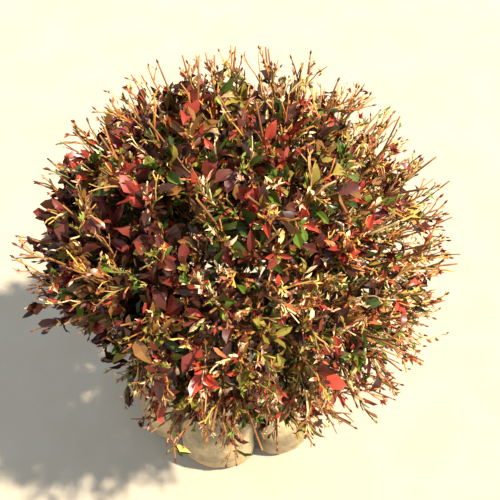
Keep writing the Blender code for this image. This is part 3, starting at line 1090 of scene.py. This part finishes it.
def surface_share(points):
    """How far out points are, as shares of the way to the clipped surface."""
    directions, far = ball_directions_of(points)
    up = directions @ np.array(HOLLOW_UP) / HOLLOW_LENGTH
    aside = directions @ np.array(HOLLOW_MIDDLE.cross(HOLLOW_UP)) / HOLLOW_WIDTH
    cut = HOLLOW_DEPTH * np.maximum(0, 1 - up**2 - aside**2) ** 2
    return far / np.where(directions @ np.array(HOLLOW_MIDDLE) < 0, 1, 1 - cut)


def in_box(points, room=0.0):
    """Whether each point is inside the solid model's box, with some room to spare."""
    return np.all((points > np.array(cad_low) + room) & (points < np.array(cad_high) - room), axis=-1)


def in_reach(points, strays=False):
    """Whether growth may go to each point."""
    return (surface_share(points) < FURTHEST + STRAY_ROOM * np.asarray(strays)) & in_box(points, BUD_ROOM)


# %% [markdown]
# Shears keep a ball by cutting the same shoots again and again. Each cut makes a shoot fork just below it,
# so the surface is crowded with short stubs, and the middle fills with thin shaded growth. Shoots are aimed
# evenly at both and grown one by one. Each leaves the wood that leads to its aim with the least bend, and
# keeps clear of places where others have started. Its own wood then bears shoots in turn, which gives the
# many small forks of a hedge, where one round of shoots would give brooms. All of them lean outwards, and a
# little upwards to the light.

# %% Where shoots aim
STEM_COURSE = (0.02, 5)  # how far the line bows, as a share of its length, and its points
LIMB_COURSE = (0.035, 12)
TWIG_COURSE = (0.04, 14)
OUTER_SHOOTS = 1550
OUTER_REACH = (0.74, 1.02)  # between which shares of the way to the surface they end
INNER_SHOOTS = 1300
INNER_REACH = (0.40, 0.84)
SHOOT_STRAY = 0.045
STRAY_SHARE = 0.08  # of the shoots on the near side
UPWARD = 0.6  # how much growth on the upper side turns up


def paths_of(lines, bow, rings):
    starts = np.array([start for start, _, _ in lines])
    ends = np.array([end for _, end, _ in lines])
    return bowed_lines(starts, ends, bow, rings)


stem_paths = paths_of(stem_lines, *STEM_COURSE)
limb_paths = paths_of(limb_lines, *LIMB_COURSE)
twig_paths = paths_of(twig_lines, *TWIG_COURSE)


def aims_between(count, reach, seed):
    """Evenly spread points to grow to, and a few strays past them on the near side."""
    chance = random.Random(seed)
    found = []
    for direction in strayed(ball_directions(count), chance, SHOOT_STRAY):
        far = chance.uniform(*reach)
        if direction.y < 0 and chance.random() < STRAY_SHARE:
            far = reach[1] + chance.uniform(0, STRAY_ROOM)
        found.append(crown_point(direction, clipped_reach(direction) * far))
    return np.array(found)


def light_ways(points):
    """Where wood grows to at each of the points: outwards, and upwards on the upper side."""
    ways, _ = ball_directions_of(points)
    upper = np.clip(ways[:, 2:], 0, 1)
    return unit(ways + np.array([[0, 0, UPWARD]]) * upper)


# %% The wood that shoots start from
BEND_COST = 2.0  # how much longer a way counts that bends off its bearer
SLANT_COST = 2.0  # and one that slants away from the light
SHARPEST = math.cos(math.radians(62))  # a way that bends further off its bearer is unfit
UNFIT_COST = 1.0  # metres for an unfit way, or one that is too short
START_CHOICE = 1.5  # how freely a shoot picks among the starts that would do
CROWD_SIZE = 0.009  # how near a start counts as nearby
CROWD_COST = 0.016  # metres for each shoot that has started nearby


class GrowingMass:
    """One mass of foliage: points on its wood, the way the wood runs there, and how crowded they are."""

    def __init__(self, room):
        self.used = 0
        self.points = np.empty((room, 3))
        self.along = np.empty((room, 3))
        self.age = np.empty(room, int)
        self.crowd = np.zeros(room)

    def add(self, points, along, age):
        fresh = slice(self.used, self.used + len(points))
        self.points[fresh], self.along[fresh], self.age[fresh] = points, along, age
        self.used = fresh.stop

    def best_start(self, aim, growing, least):
        """The start with the least cost: a short straight way to the light, and few shoots near it."""
        points, along = self.points[: self.used], self.along[: self.used]
        away = aim - points
        length = np.linalg.norm(away, axis=1)
        straight = np.sum(away * along, axis=1) / np.maximum(length, TINY)
        slant = 1 - away @ growing / np.maximum(length, TINY)
        bent = 1 + BEND_COST * (1 - straight) + SLANT_COST * slant
        cost = length * bent * dice.uniform(1, START_CHOICE, self.used)
        crowding = CROWD_COST * self.crowd[: self.used]
        cost += crowding + UNFIT_COST * (length < least) + UNFIT_COST * (straight < SHARPEST)
        best = int(np.argmin(cost))
        self.crowd[: self.used] += np.linalg.norm(points - points[best], axis=1) < CROWD_SIZE
        return points[best], along[best], self.age[best]


# %% Shoots
LEAST_LENGTH = (0.018, 0.060)  # shortest and longest of the least lengths
SHOOT_RINGS = 6
SHOOT_KINK = 0.018  # sideways stray of each ring, as a share of the length
LEAVING = 0.34  # how far a shoot keeps its bearer's direction
AIMING = 0.2  # how far its control point is drawn to its aim
WOOD_POINTS = 4000  # more than one mass's limbs and twigs have


def masses_to_grow(aims_each):
    """The twigs' and limbs' points, dealt out to their masses."""
    masses = []
    for mass in range(MASSES):
        growing = GrowingMass(room=WOOD_POINTS + SHOOT_RINGS * aims_each)
        for paths, lines in ((limb_paths, limb_lines), (twig_paths, twig_lines)):
            mine = paths[[owner == mass for _, _, owner in lines]]
            along = unit(np.gradient(mine, axis=1))
            growing.add(mine.reshape(-1, 3), along.reshape(-1, 3), 0)
        masses.append(growing)
    return masses


def crooked_line(start, leaving, aim):
    """A shoot's line, which leaves its bearer along the bearer and strays a little on its way."""
    reach = np.linalg.norm(aim - start)
    control = start + leaving * reach * LEAVING + (aim - start) * AIMING
    line = bent_lines(start[None], control[None], aim[None], SHOOT_RINGS)[0]
    line[1:-1] += dice.normal(0, SHOOT_KINK, (SHOOT_RINGS - 2, 3)) * reach
    return line


def grow_shoots(aims):
    """A line to each aim, and its generation: 1 where it springs from a twig of the solid model."""
    owners = np.argmax(unit(aims - np.array(FORK)) @ np.array(mass_axes).T, axis=1)
    masses = masses_to_grow(len(aims))
    growing = light_ways(aims)
    lines, ages = np.empty((len(aims), SHOOT_RINGS, 3)), np.empty(len(aims), int)
    for number in dice.permutation(len(aims)):
        mass = masses[owners[number]]
        start, leaving, age = mass.best_start(aims[number], growing[number], dice.uniform(*LEAST_LENGTH))
        line = crooked_line(start, leaving, aims[number])
        lines[number], ages[number] = line, age + 1
        mass.add(line[1:-1], unit(line[2:] - line[:-2]), age + 1)
    return lines, ages


outer_aims = aims_between(OUTER_SHOOTS, OUTER_REACH, SEED + 1)
outer_aims = outer_aims[in_reach(outer_aims, strays=True)]
inner_aims = aims_between(INNER_SHOOTS, INNER_REACH, SEED + 2)
shoots, shoot_ages = grow_shoots(np.concatenate([outer_aims, inner_aims]))
is_inner = np.arange(len(shoots)) >= len(outer_aims)
is_stray = ~in_reach(shoots[:, -1])
print(len(shoots), "shoots, of generations", np.bincount(shoot_ages))

# %% Forks and spurs on the shoots
FORKS = {"each": 2, "place": (0.15, 0.85), "lean": (0.30, 0.80), "length": (0.008, 0.026)}
SPURS = {"each": 1, "place": (0.75, 0.98), "lean": (0.55, 1.10), "length": (0.003, 0.007)}
TO_LIGHT = 0.5  # how much a side twig turns to the light
SIDE_COURSE = (0.05, 3)


def side_lines(rule):
    """Short side twigs on the outer part of each shoot, and the number of the shoot that bears each."""
    bearers = np.repeat(np.arange(len(shoots)), rule["each"])
    starts, along = along_lines(shoots, bearers, dice.uniform(*rule["place"], len(bearers)))
    out = turned_aside(along, dice.uniform(*rule["lean"], (len(bearers), 1)))
    out = unit(out + TO_LIGHT * light_ways(starts))
    ends = starts + out * dice.uniform(*rule["length"], (len(bearers), 1))
    kept = in_reach(ends, is_stray[bearers])
    return bowed_lines(starts[kept], ends[kept], *SIDE_COURSE), bearers[kept]


forks, fork_bearers = side_lines(FORKS)
spurs, spur_bearers = side_lines(SPURS)
print(len(forks), "forks and", len(spurs), "spurs")

# %% [markdown]
# Sun doesn't reach a ball evenly, so its twigs and leaves change from side to side: ripe wood and fewer
# leaves at the right and the back, and dark leaves to the very tips on the left. The darker paints on the
# left and the paler ones on the right are partly painted shade and painted sunlight. A rule gives an amount
# for each side, and one function adds them up for any direction.

# %% How far growth points to each side of the crown
FRONT_FROM = 0.4  # how far forward a direction points before it counts as front
LOW_FRONT_TO = 0.5  # how far up the low parts of the front and the right go
LOW_RIGHT_TO = 0.2
LEFT_FADING = 0.6  # how fast the lower left fades upwards
BACK_RIGHT_PART = 0.6  # how much the way back and the way right each count for between them
shoot_sides, _ = ball_directions_of(shoots[:, -1])


def by_side(rule, directions):
    """Adds up a rule's amounts, each as far as the directions point to its side."""
    x, y, z = directions.T
    front = np.clip(-y - FRONT_FROM, 0, 1 - FRONT_FROM)
    sides = {
        "all": np.ones(len(directions)),
        "x": x,
        "y": y,
        "z": z,
        "left": np.clip(-x, 0, 1),
        "right": np.clip(x, 0, 1),
        "back": np.clip(y, 0, 1),
        "below": np.clip(-z, 0, 1),
        "front": front,
        "lower left": np.clip(-x - LEFT_FADING * np.clip(z, 0, 1), 0, 1),
        "low right": np.clip(x, 0, 1) * np.clip(LOW_RIGHT_TO - z, 0, 1),
        "low front": front * np.clip(LOW_FRONT_TO - z, 0, 1),
        "back right": np.clip(BACK_RIGHT_PART * x + BACK_RIGHT_PART * y, 0, 1),
    }
    return sum(amount * sides[side] for side, amount in rule.items())


# %% [markdown]
# Young wood is golden where the sun has ripened it, olive in the shade and dark brown further in. The
# lighter paints on the lit side and the darker ones low at the front and inside are partly painted sunlight
# and painted shade. The colours are dealt out twig by twig as plain paints, one piece to each, because a
# pattern would be too fine to see. A twig's chance of each paint lies between a sunny list and a shady one.

# %% Twig paints
TWIG_PAINTS = {
    "straw": (0.80, 0.55, 0.24),
    "golden": (0.66, 0.36, 0.07),
    "tan": (0.48, 0.25, 0.08),
    "orange": (0.56, 0.19, 0.04),
    "olive": (0.20, 0.17, 0.045),
    "chestnut": (0.30, 0.125, 0.040),
    "brown": (0.15, 0.07, 0.024),
}
# The share of each paint, in the order above.
TWIGS_IN_SUN = (0.18, 0.27, 0.20, 0.25, 0.03, 0.05, 0.02)
TWIGS_IN_SHADE = (0.03, 0.06, 0.10, 0.13, 0.20, 0.23, 0.25)
# Lighter paints towards the right, the back and the top, darker ones low at the front and inside: partly
# ripe wood, partly painted sunlight and painted shade.
SUNNINESS = {"all": 0.48, "x": 0.40, "y": 0.30, "z": 0.15, "low front": -0.2}
SUNNINESS_RANGE = (0.05, 0.95)
INNER_SUNNINESS = 0.12
TWIG_ROUGHNESS = 0.55
COAT_ROUGHNESS = 0.28
SHEEN = 0.18


def painted(name, colour, roughness, gloss=0.0):
    """A plain paint: the same colour all over."""
    material, start = new_material(name)
    shine = {"Coat Weight": gloss, "Coat Roughness": COAT_ROUGHNESS, "Specular IOR Level": SHEEN}
    finish(start, (*colour, 1), roughness, shine)
    return material


def dealt(chances, first, second):
    """For each chance a number from the first list of shares, or else from the second."""
    draw = dice.random(len(chances))
    limits = [np.cumsum(np.array(shares) / sum(shares)) for shares in (first, second)]
    numbers = [np.searchsorted(limit, draw) for limit in limits]
    return np.where(dice.random(len(chances)) < chances, *numbers)


def sunniness():
    """How likely each shoot's wood is ripe, its lighter paints partly painted sunlight: most at the back
    and right, hardly inside the crown.
    """
    outside = np.clip(by_side(SUNNINESS, shoot_sides), *SUNNINESS_RANGE)
    return np.where(is_inner, INNER_SUNNINESS, outside)


# %% Twigs
OLD_WOOD = (  # lines, their paint, radii at the root and the tip, and sides of the tube
    (stem_paths, "brown", (0.0038, 0.0033), 8),
    (limb_paths, "brown", (0.0029, 0.0021), 7),
    (twig_paths, "chestnut", (0.0019, 0.0010), 6),
)
SHOOT_RADII = (0.00130, 0.00082)  # at the root and the tip, as for the others
SHOOT_SIDES = 5
YOUNGER = 0.90  # how much thinner each generation is
YOUNGEST = 4  # generations after which twigs get no thinner
FORK_RADII = (0.00086, 0.00068)
SPUR_RADII = (0.00100, 0.00076)
SIDE_TWIG_SIDES = 4


def make_twigs():
    shoot_paint = dealt(sunniness(), TWIGS_IN_SUN, TWIGS_IN_SHADE)
    thickness = YOUNGER ** np.clip(shoot_ages - 1, 0, YOUNGEST)[:, None]
    old_wood = []
    for paths, paint, radii, sides in OLD_WOOD:
        old_wood.append((paint, tubes(paths, tapering(paths, *radii), sides)))
    side_twigs = ((forks, fork_bearers, FORK_RADII), (spurs, spur_bearers, SPUR_RADII))
    for number, (name, colour) in enumerate(TWIG_PAINTS.items()):
        mine = shoot_paint == number
        widths = tapering(shoots[mine], *SHOOT_RADII) * thickness[mine]
        parts = [tubes(shoots[mine], widths, SHOOT_SIDES)]
        for lines, bearers, radii in side_twigs:
            chosen = lines[shoot_paint[bearers] == number]
            parts.append(tubes(chosen, tapering(chosen, *radii), SIDE_TWIG_SIDES))
        parts += [tube for paint, tube in old_wood if paint == name]
        piece = joined_mesh(f"twigs_{name}", *merged(parts))
        finished(piece, "foliage", painted(f"twig_{name}", colour, TWIG_ROUGHNESS), *MASS_NODES)


make_twigs()

# %% [markdown]
# Next year's buds sit on many of the tips, pointed and dark red. A bud is a very short tube that swells and
# closes. The other tips are bare, cut square by the shears.

# %% Buds
BUD_LENGTH = 0.0065
BUD_SUNK = 0.15  # of its length that a bud starts before the tip
BUD_PROFILE = (0.5, 1.0, 0.12)
BUD_RADIUS = 0.00175
BUD_SIDES = 4
BUD_SIZES = (0.6, 1.0)
BUD_CHANCE = 0.36
BUD_RED = (0.13, 0.035, 0.02)
BUD_ROUGHNESS = 0.5


def make_buds():
    """A bud on some of the tips that growth may reach."""
    lines = [shoots[~is_inner][:, -2:], forks[:, -2:], spurs[:, -2:], twig_paths[:, -2:]]
    before, tips = np.concatenate(lines).transpose(1, 0, 2)
    kept = in_reach(tips, strays=True) & (dice.random(len(tips)) < BUD_CHANCE)
    tips, along = tips[kept], unit(tips - before)[kept]
    size = dice.uniform(*BUD_SIZES, (len(tips), 1))
    share = np.linspace(-BUD_SUNK, 1, len(BUD_PROFILE))[None, :, None]
    lines = tips[:, None] + along[:, None] * share * BUD_LENGTH * size[:, None]
    piece = joined_mesh("buds", *tubes(lines, BUD_RADIUS * size * np.array([BUD_PROFILE]), BUD_SIDES))
    finished(piece, "foliage", painted("bud_red", BUD_RED, BUD_ROUGHNESS), *MASS_NODES)


make_buds()

# %% [markdown]
# ## Leaves
# The leaves are leathery, folded along the middle and pointed, and stand in whorls along the shoots. Cold
# has turned most of them maroon and crimson, while those in the shade of others stay green. A leaf here
# is a strip of a few faces on each side of its midrib: widest past the middle, folded, curled along its
# length, and ruffled at its margins. Each shoot is a spray of one colour, with some of other colours.

# %% Leaf shape
# Each pair in an outline is a place along the leaf, and how much of its half width it has there.
LEAF_OUTLINE = ((0, 0), (0.10, 0.14), (0.32, 0.64), (0.56, 1), (0.80, 0.66), (1, 0))
TUFT_OUTLINE = ((0, 0), (0.45, 1), (1, 0))
RUFFLE = 0.16  # how unevenly a leaf's margins run, as a share of its half width
RUFFLE_RISE = 1.5  # how much more they stray up and down than sideways
FOLDS = (0.10, 0.85)  # radians, least and most
CURLS = (0.45, 0.75)  # radians, mean and spread
TWISTS = (0.0, 0.60)
CREASE_ANGLE = math.radians(24)  # a fold sharper than this shows as a line


def leaf_points(outline, roots, outs, ups, lengths, widths):
    """The points of many leaves, a row for each leaf, from its root outwards."""
    folds = dice.uniform(*FOLDS, (len(roots), 1))
    curls = dice.normal(*CURLS, (len(roots), 1))
    twists = dice.normal(*TWISTS, (len(roots), 1))
    sides = np.cross(outs, ups)
    middle, passed = roots, 0.0
    points = []
    for station, spread in outline:
        bend = curls * (station + passed) / 2
        middle = middle + (outs * np.cos(bend) - ups * np.sin(bend)) * lengths * (station - passed)
        passed = station
        if spread == 0:
            points.append(middle)
            continue
        half = lengths * widths * spread / 2
        upright = ups * np.cos(curls * station) + outs * np.sin(curls * station)
        turn = twists * station
        aside = sides * np.cos(turn) + upright * np.sin(turn)
        upright = upright * np.cos(turn) - sides * np.sin(turn)
        margins = []
        for side in (-1, 1):
            wide, high = dice.normal(0, RUFFLE, (2, len(roots), 1))
            rise = upright * half * (np.sin(folds) + RUFFLE_RISE * high)
            margins.append(middle + side * aside * half * np.cos(folds) * (1 + wide) + rise)
        points += [margins[0], middle, margins[1]]
    return np.stack(points, axis=1)


def leaf_faces(outline, count):
    """The groups of faces of so many leaves: triangles at the root and the tip, and quads between."""
    per_leaf = 3 * len(outline) - 4
    triangles = [(0, 2, 1), (0, 3, 2)]
    quads = []
    for station in range(len(outline) - 3):
        here, there = 1 + 3 * station, 4 + 3 * station
        quads += [(here, here + 1, there + 1, there), (here + 1, here + 2, there + 2, there + 1)]
    last, tip = per_leaf - 4, per_leaf - 1
    triangles += [(last, last + 1, tip), (last + 1, last + 2, tip)]
    return [scattered(per_leaf, faces, count) for faces in (triangles, quads) if faces]


# %% Leaf colours and where they grow
LEAF_PAINTS = {
    "blackred": (0.042, 0.014, 0.008),
    "maroon": (0.085, 0.018, 0.010),
    "wine": (0.16, 0.028, 0.017),
    "crimson": (0.27, 0.034, 0.019),
    "scarlet": (0.44, 0.050, 0.024),
    "rust": (0.46, 0.15, 0.05),
    # Salmon is a painted highlight: pale pink leaves that stand in for the sheen of sun on glossy ones.
    "salmon_highlight": (0.80, 0.38, 0.22),
    "umber": (0.20, 0.085, 0.020),
    "darkgreen": (0.032, 0.046, 0.005),
    "green": (0.09, 0.13, 0.011),
    "brightgreen": (0.22, 0.27, 0.038),
    "olive": (0.25, 0.185, 0.030),
    "amber": (0.82, 0.50, 0.13),
    # Dry leaves, painted pale and spread widely so that they also stand in for painted highlights.
    "dry": (0.84, 0.57, 0.30),
}
# How much of each paint grows in each part of the crown, in the order above. The dark lists for the left
# and the inside are partly painted shade, and the pale list for the right partly painted sunlight.
SHARES_LEFT_IN_SHADE = (40, 23, 11, 7, 4, 2, 4, 8, 5, 2, 1, 2, 1, 4)
SHARES_RIGHT_IN_SUN = (8, 6, 7, 10, 10, 13, 15, 8, 9, 7, 6, 9, 6, 21)
SHARES_INSIDE_IN_SHADE = (16, 7, 3, 2, 1, 7, 5, 19, 16, 8, 4, 11, 2, 14)
# The pale, sunlit shares come on the right and low at the front: painted sunlight.
SUNLIT_SHARES_CHANCE = {"all": 0.47, "x": 0.45, "z": 0.15, "low front": 1.5}  # chance of the shares on the right
INSIDENESS = 0.85  # an inner shoot's chance of the shares inside
PALE_LEAVES = ("rust", "salmon_highlight", "amber", "dry", "brightgreen")
PAINT_STRAY = 0.25
PALE_STRAY = 0.45  # more among pale leaves, whose whorls would look like flowers


def is_pale(paints):
    """Whether each paint is one of the pale ones, as a column."""
    return np.isin(paints, [list(LEAF_PAINTS).index(name) for name in PALE_LEAVES])[:, None]


def paints_for(bearers):
    """A paint for each shoot named, by its side of the crown and its depth in it: darker as painted shade
    on the left and inside, paler as painted sunlight on the right.
    """
    sunlit_chance = np.clip(by_side(SUNLIT_SHARES_CHANCE, shoot_sides[bearers]), 0, 1)
    outside = dealt(sunlit_chance, SHARES_RIGHT_IN_SUN, SHARES_LEFT_IN_SHADE)
    inside = dealt(np.full(len(bearers), INSIDENESS), SHARES_INSIDE_IN_SHADE, SHARES_RIGHT_IN_SUN)
    return np.where(is_inner[bearers], inside, outside)


def spray_paints(bearers):
    """Each leaf's paint: that of its spray, or for some a paint of their own."""
    paints = paints_for(np.arange(len(shoots)))[bearers]
    straying = PAINT_STRAY + PALE_STRAY * is_pale(paints)[:, 0]
    return np.where(dice.random(len(bearers)) < straying, paints_for(bearers), paints)


# %% Whorls of leaves
MOST_IN_WHORL = 5
WHORL_SPREAD = 0.07  # how far along the line one whorl's leaves part
OUTER_PLACES = ((0.30, 0.50), (0.46, 0.55), (0.60, 0.65), (0.74, 0.75), (0.88, 0.70))  # place, chance
INNER_PLACES = ((0.30, 0.60), (0.50, 0.70), (0.66, 0.60), (0.80, 0.80), (0.95, 0.80))
FORK_PLACE = (0.60, 0.25)
LEAFINESS = {"all": 0.92, "left": 0.15, "right": -0.42, "back": -0.24, "below": -0.05, "low front": -0.3}
INNER_LEAFINESS = {"all": 1.0, "back right": -0.3}
LEAF_LEAN = (0.35, 1.25)  # radians away from the shoot
LEAF_LEANING = {"all": 1.0, "left": -0.4}
LEAVES_TO_LIGHT = 0.35
LEAF_ROLL = 0.40


def whorls(lines, rows, place):
    """(roots, directions, upsides, rows) of the leaves in a whorl on each of the lines in rows."""
    rows = np.repeat(rows, dice.integers(1, MOST_IN_WHORL + 1, len(rows)))
    places = place + dice.uniform(-WHORL_SPREAD, WHORL_SPREAD, len(rows))
    roots, along = along_lines(lines, rows, places)
    leaning = by_side(LEAF_LEANING, ball_directions_of(roots)[0])[:, None]
    outs = turned_aside(along, dice.uniform(*LEAF_LEAN, (len(rows), 1)) * leaning)
    outs = unit(outs + LEAVES_TO_LIGHT * light_ways(roots))
    ups = unit(along - outs * np.sum(along * outs, axis=1, keepdims=True))
    roll = dice.normal(0, LEAF_ROLL, (len(rows), 1))
    ups = unit(np.cos(roll) * ups + np.sin(roll) * np.cross(outs, ups))
    return roots, outs, ups, rows


def all_whorls():
    """(roots, directions, upsides, bearers) of the leaves on all shoots and on some forks."""
    leafy = np.clip(by_side(LEAFINESS, shoot_sides), 0, 1)
    leafy = np.where(is_inner, by_side(INNER_LEAFINESS, shoot_sides), leafy)
    parts = []
    for places, chosen in ((OUTER_PLACES, ~is_inner), (INNER_PLACES, is_inner)):
        for place, chance in places:
            bearing = np.flatnonzero(chosen & (dice.random(len(shoots)) < chance * leafy))
            parts.append(whorls(shoots, bearing, place))
    place, chance = FORK_PLACE
    bearing = np.flatnonzero(dice.random(len(forks)) < chance * leafy[fork_bearers])
    roots, outs, ups, rows = whorls(forks, bearing, place)
    parts.append((roots, outs, ups, fork_bearers[rows]))
    return [np.concatenate(group) for group in zip(*parts)]


# %% Leaf sizes, and how far out leaves reach
LEAF_LENGTH = (0.019, 0.037)
LEAF_WIDTH = (0.30, 0.54)  # as shares of the length
SIDE_GROWTH = 0.28  # how much longer leaves are on the left, and shorter on the right
INNER_GROWTH = 0.80
SMALL_SHARE = 0.38  # of the leaves, which are about half as long
SMALL_SIZE = (0.35, 0.65)
PALE_SIZE = 0.75
PALE_WIDTH = 0.72
LEAF_LIMIT = {
    "all": 0.94,
    "lower left": 0.05,
    "right": -0.02,
    "low right": 0.08,
    "back": -0.04,
    "front": -0.03,
}
LIMIT_STRAY = 0.025


def leaf_lengths(bearers):
    """Lengths as a column, by each bearer's side of the crown and its depth in it."""
    growth = 1 - SIDE_GROWTH * shoot_sides[bearers, :1]
    growth = np.where(is_inner[bearers, None], growth * INNER_GROWTH, growth)
    small = dice.random((len(bearers), 1)) < SMALL_SHARE
    growth = np.where(small, growth * dice.uniform(*SMALL_SIZE, (len(bearers), 1)), growth)
    return dice.uniform(*LEAF_LENGTH, (len(bearers), 1)) * growth


def grow_leaves():
    """(roots, directions, upsides, lengths, paints) of all leaves that keep inside the outline."""
    roots, outs, ups, bearers = all_whorls()
    lengths = leaf_lengths(bearers)
    tips = roots + outs * lengths
    limit = by_side(LEAF_LIMIT, shoot_sides[bearers]) + dice.normal(0, LIMIT_STRAY, len(bearers))
    limit += is_stray[bearers] * STRAY_ROOM
    kept = (surface_share(tips) < limit) & in_reach(tips, is_stray[bearers])
    paints = spray_paints(bearers)
    lengths = np.where(is_pale(paints), lengths * PALE_SIZE, lengths)
    return [values[kept] for values in (roots, outs, ups, lengths, paints)]


# %% [markdown]
# Beside the grown leaves, many tips hold a tuft of tiny new ones, hardly longer than a bud. They catch the
# light as small stars of yellow and rose, and are dealt out from the brighter paints.

# %% Tufts at the tips
TUFT_CHANCE = 0.55
FEWER_INSIDE = 0.4
WHORLS_IN_TUFT = 2
TUFT_PLACE = 0.96
TUFT_LENGTH = (0.005, 0.011)
TUFT_PAINTS = ("brightgreen", "olive", "amber", "dry", "salmon_highlight", "rust", "crimson")


def grow_tufts():
    """(roots, directions, upsides, lengths, paints) of the tiny leaves at the tips of forks."""
    chances = TUFT_CHANCE * (1 - FEWER_INSIDE * is_inner[fork_bearers])
    bearing = np.repeat(np.flatnonzero(dice.random(len(forks)) < chances), WHORLS_IN_TUFT)
    roots, outs, ups, rows = whorls(forks, bearing, TUFT_PLACE)
    choices = [list(LEAF_PAINTS).index(name) for name in TUFT_PAINTS]
    paints = dice.choice(np.array(choices), len(forks))[rows]
    lengths = dice.uniform(*TUFT_LENGTH, (len(rows), 1))
    kept = in_reach(roots + outs * lengths, is_stray[fork_bearers[rows]])
    return [values[kept] for values in (roots, outs, ups, lengths, paints)]


# %% Leaves and tufts
LEAF_GLOSS = 0.22
LEAF_ROUGHNESS = 0.38


def shaped(outline, roots, outs, ups, lengths, paints):
    """The points and paints of those leaves that keep inside the solid model's box."""
    widths = dice.uniform(*LEAF_WIDTH, (len(roots), 1)) * np.where(is_pale(paints), PALE_WIDTH, 1)
    points = leaf_points(outline, roots, outs, ups, lengths, widths)
    inside = in_box(points).all(axis=1)
    return points[inside], paints[inside]


def make_leaves():
    grown = ((LEAF_OUTLINE, grow_leaves()), (TUFT_OUTLINE, grow_tufts()))
    kinds = [(outline, *shaped(outline, *leaves)) for outline, leaves in grown]
    for number, (name, colour) in enumerate(LEAF_PAINTS.items()):
        parts = []
        for outline, points, paints in kinds:
            mine = points[paints == number]
            parts.append((mine.reshape(-1, 3), leaf_faces(outline, len(mine))))
        piece = joined_mesh(f"leaves_{name}", *merged(parts))
        piece.data.shade_smooth()
        piece.data.set_sharp_from_angle(angle=CREASE_ANGLE)
        paint = painted(f"leaf_{name}", colour, LEAF_ROUGHNESS, LEAF_GLOSS)
        finished(piece, "foliage", paint, *MASS_NODES)
    print([len(points) for _, points, _ in kinds], "leaves and leaves in tufts")


make_leaves()

# %% [markdown]
# ## The solids' box
# The dressed plant has to stay inside the solid model's box, and that box is printed.

# %% Sizes and the last line
print("box of the solids", [round(place, 4) for place in (*cad_low, *cad_high)])
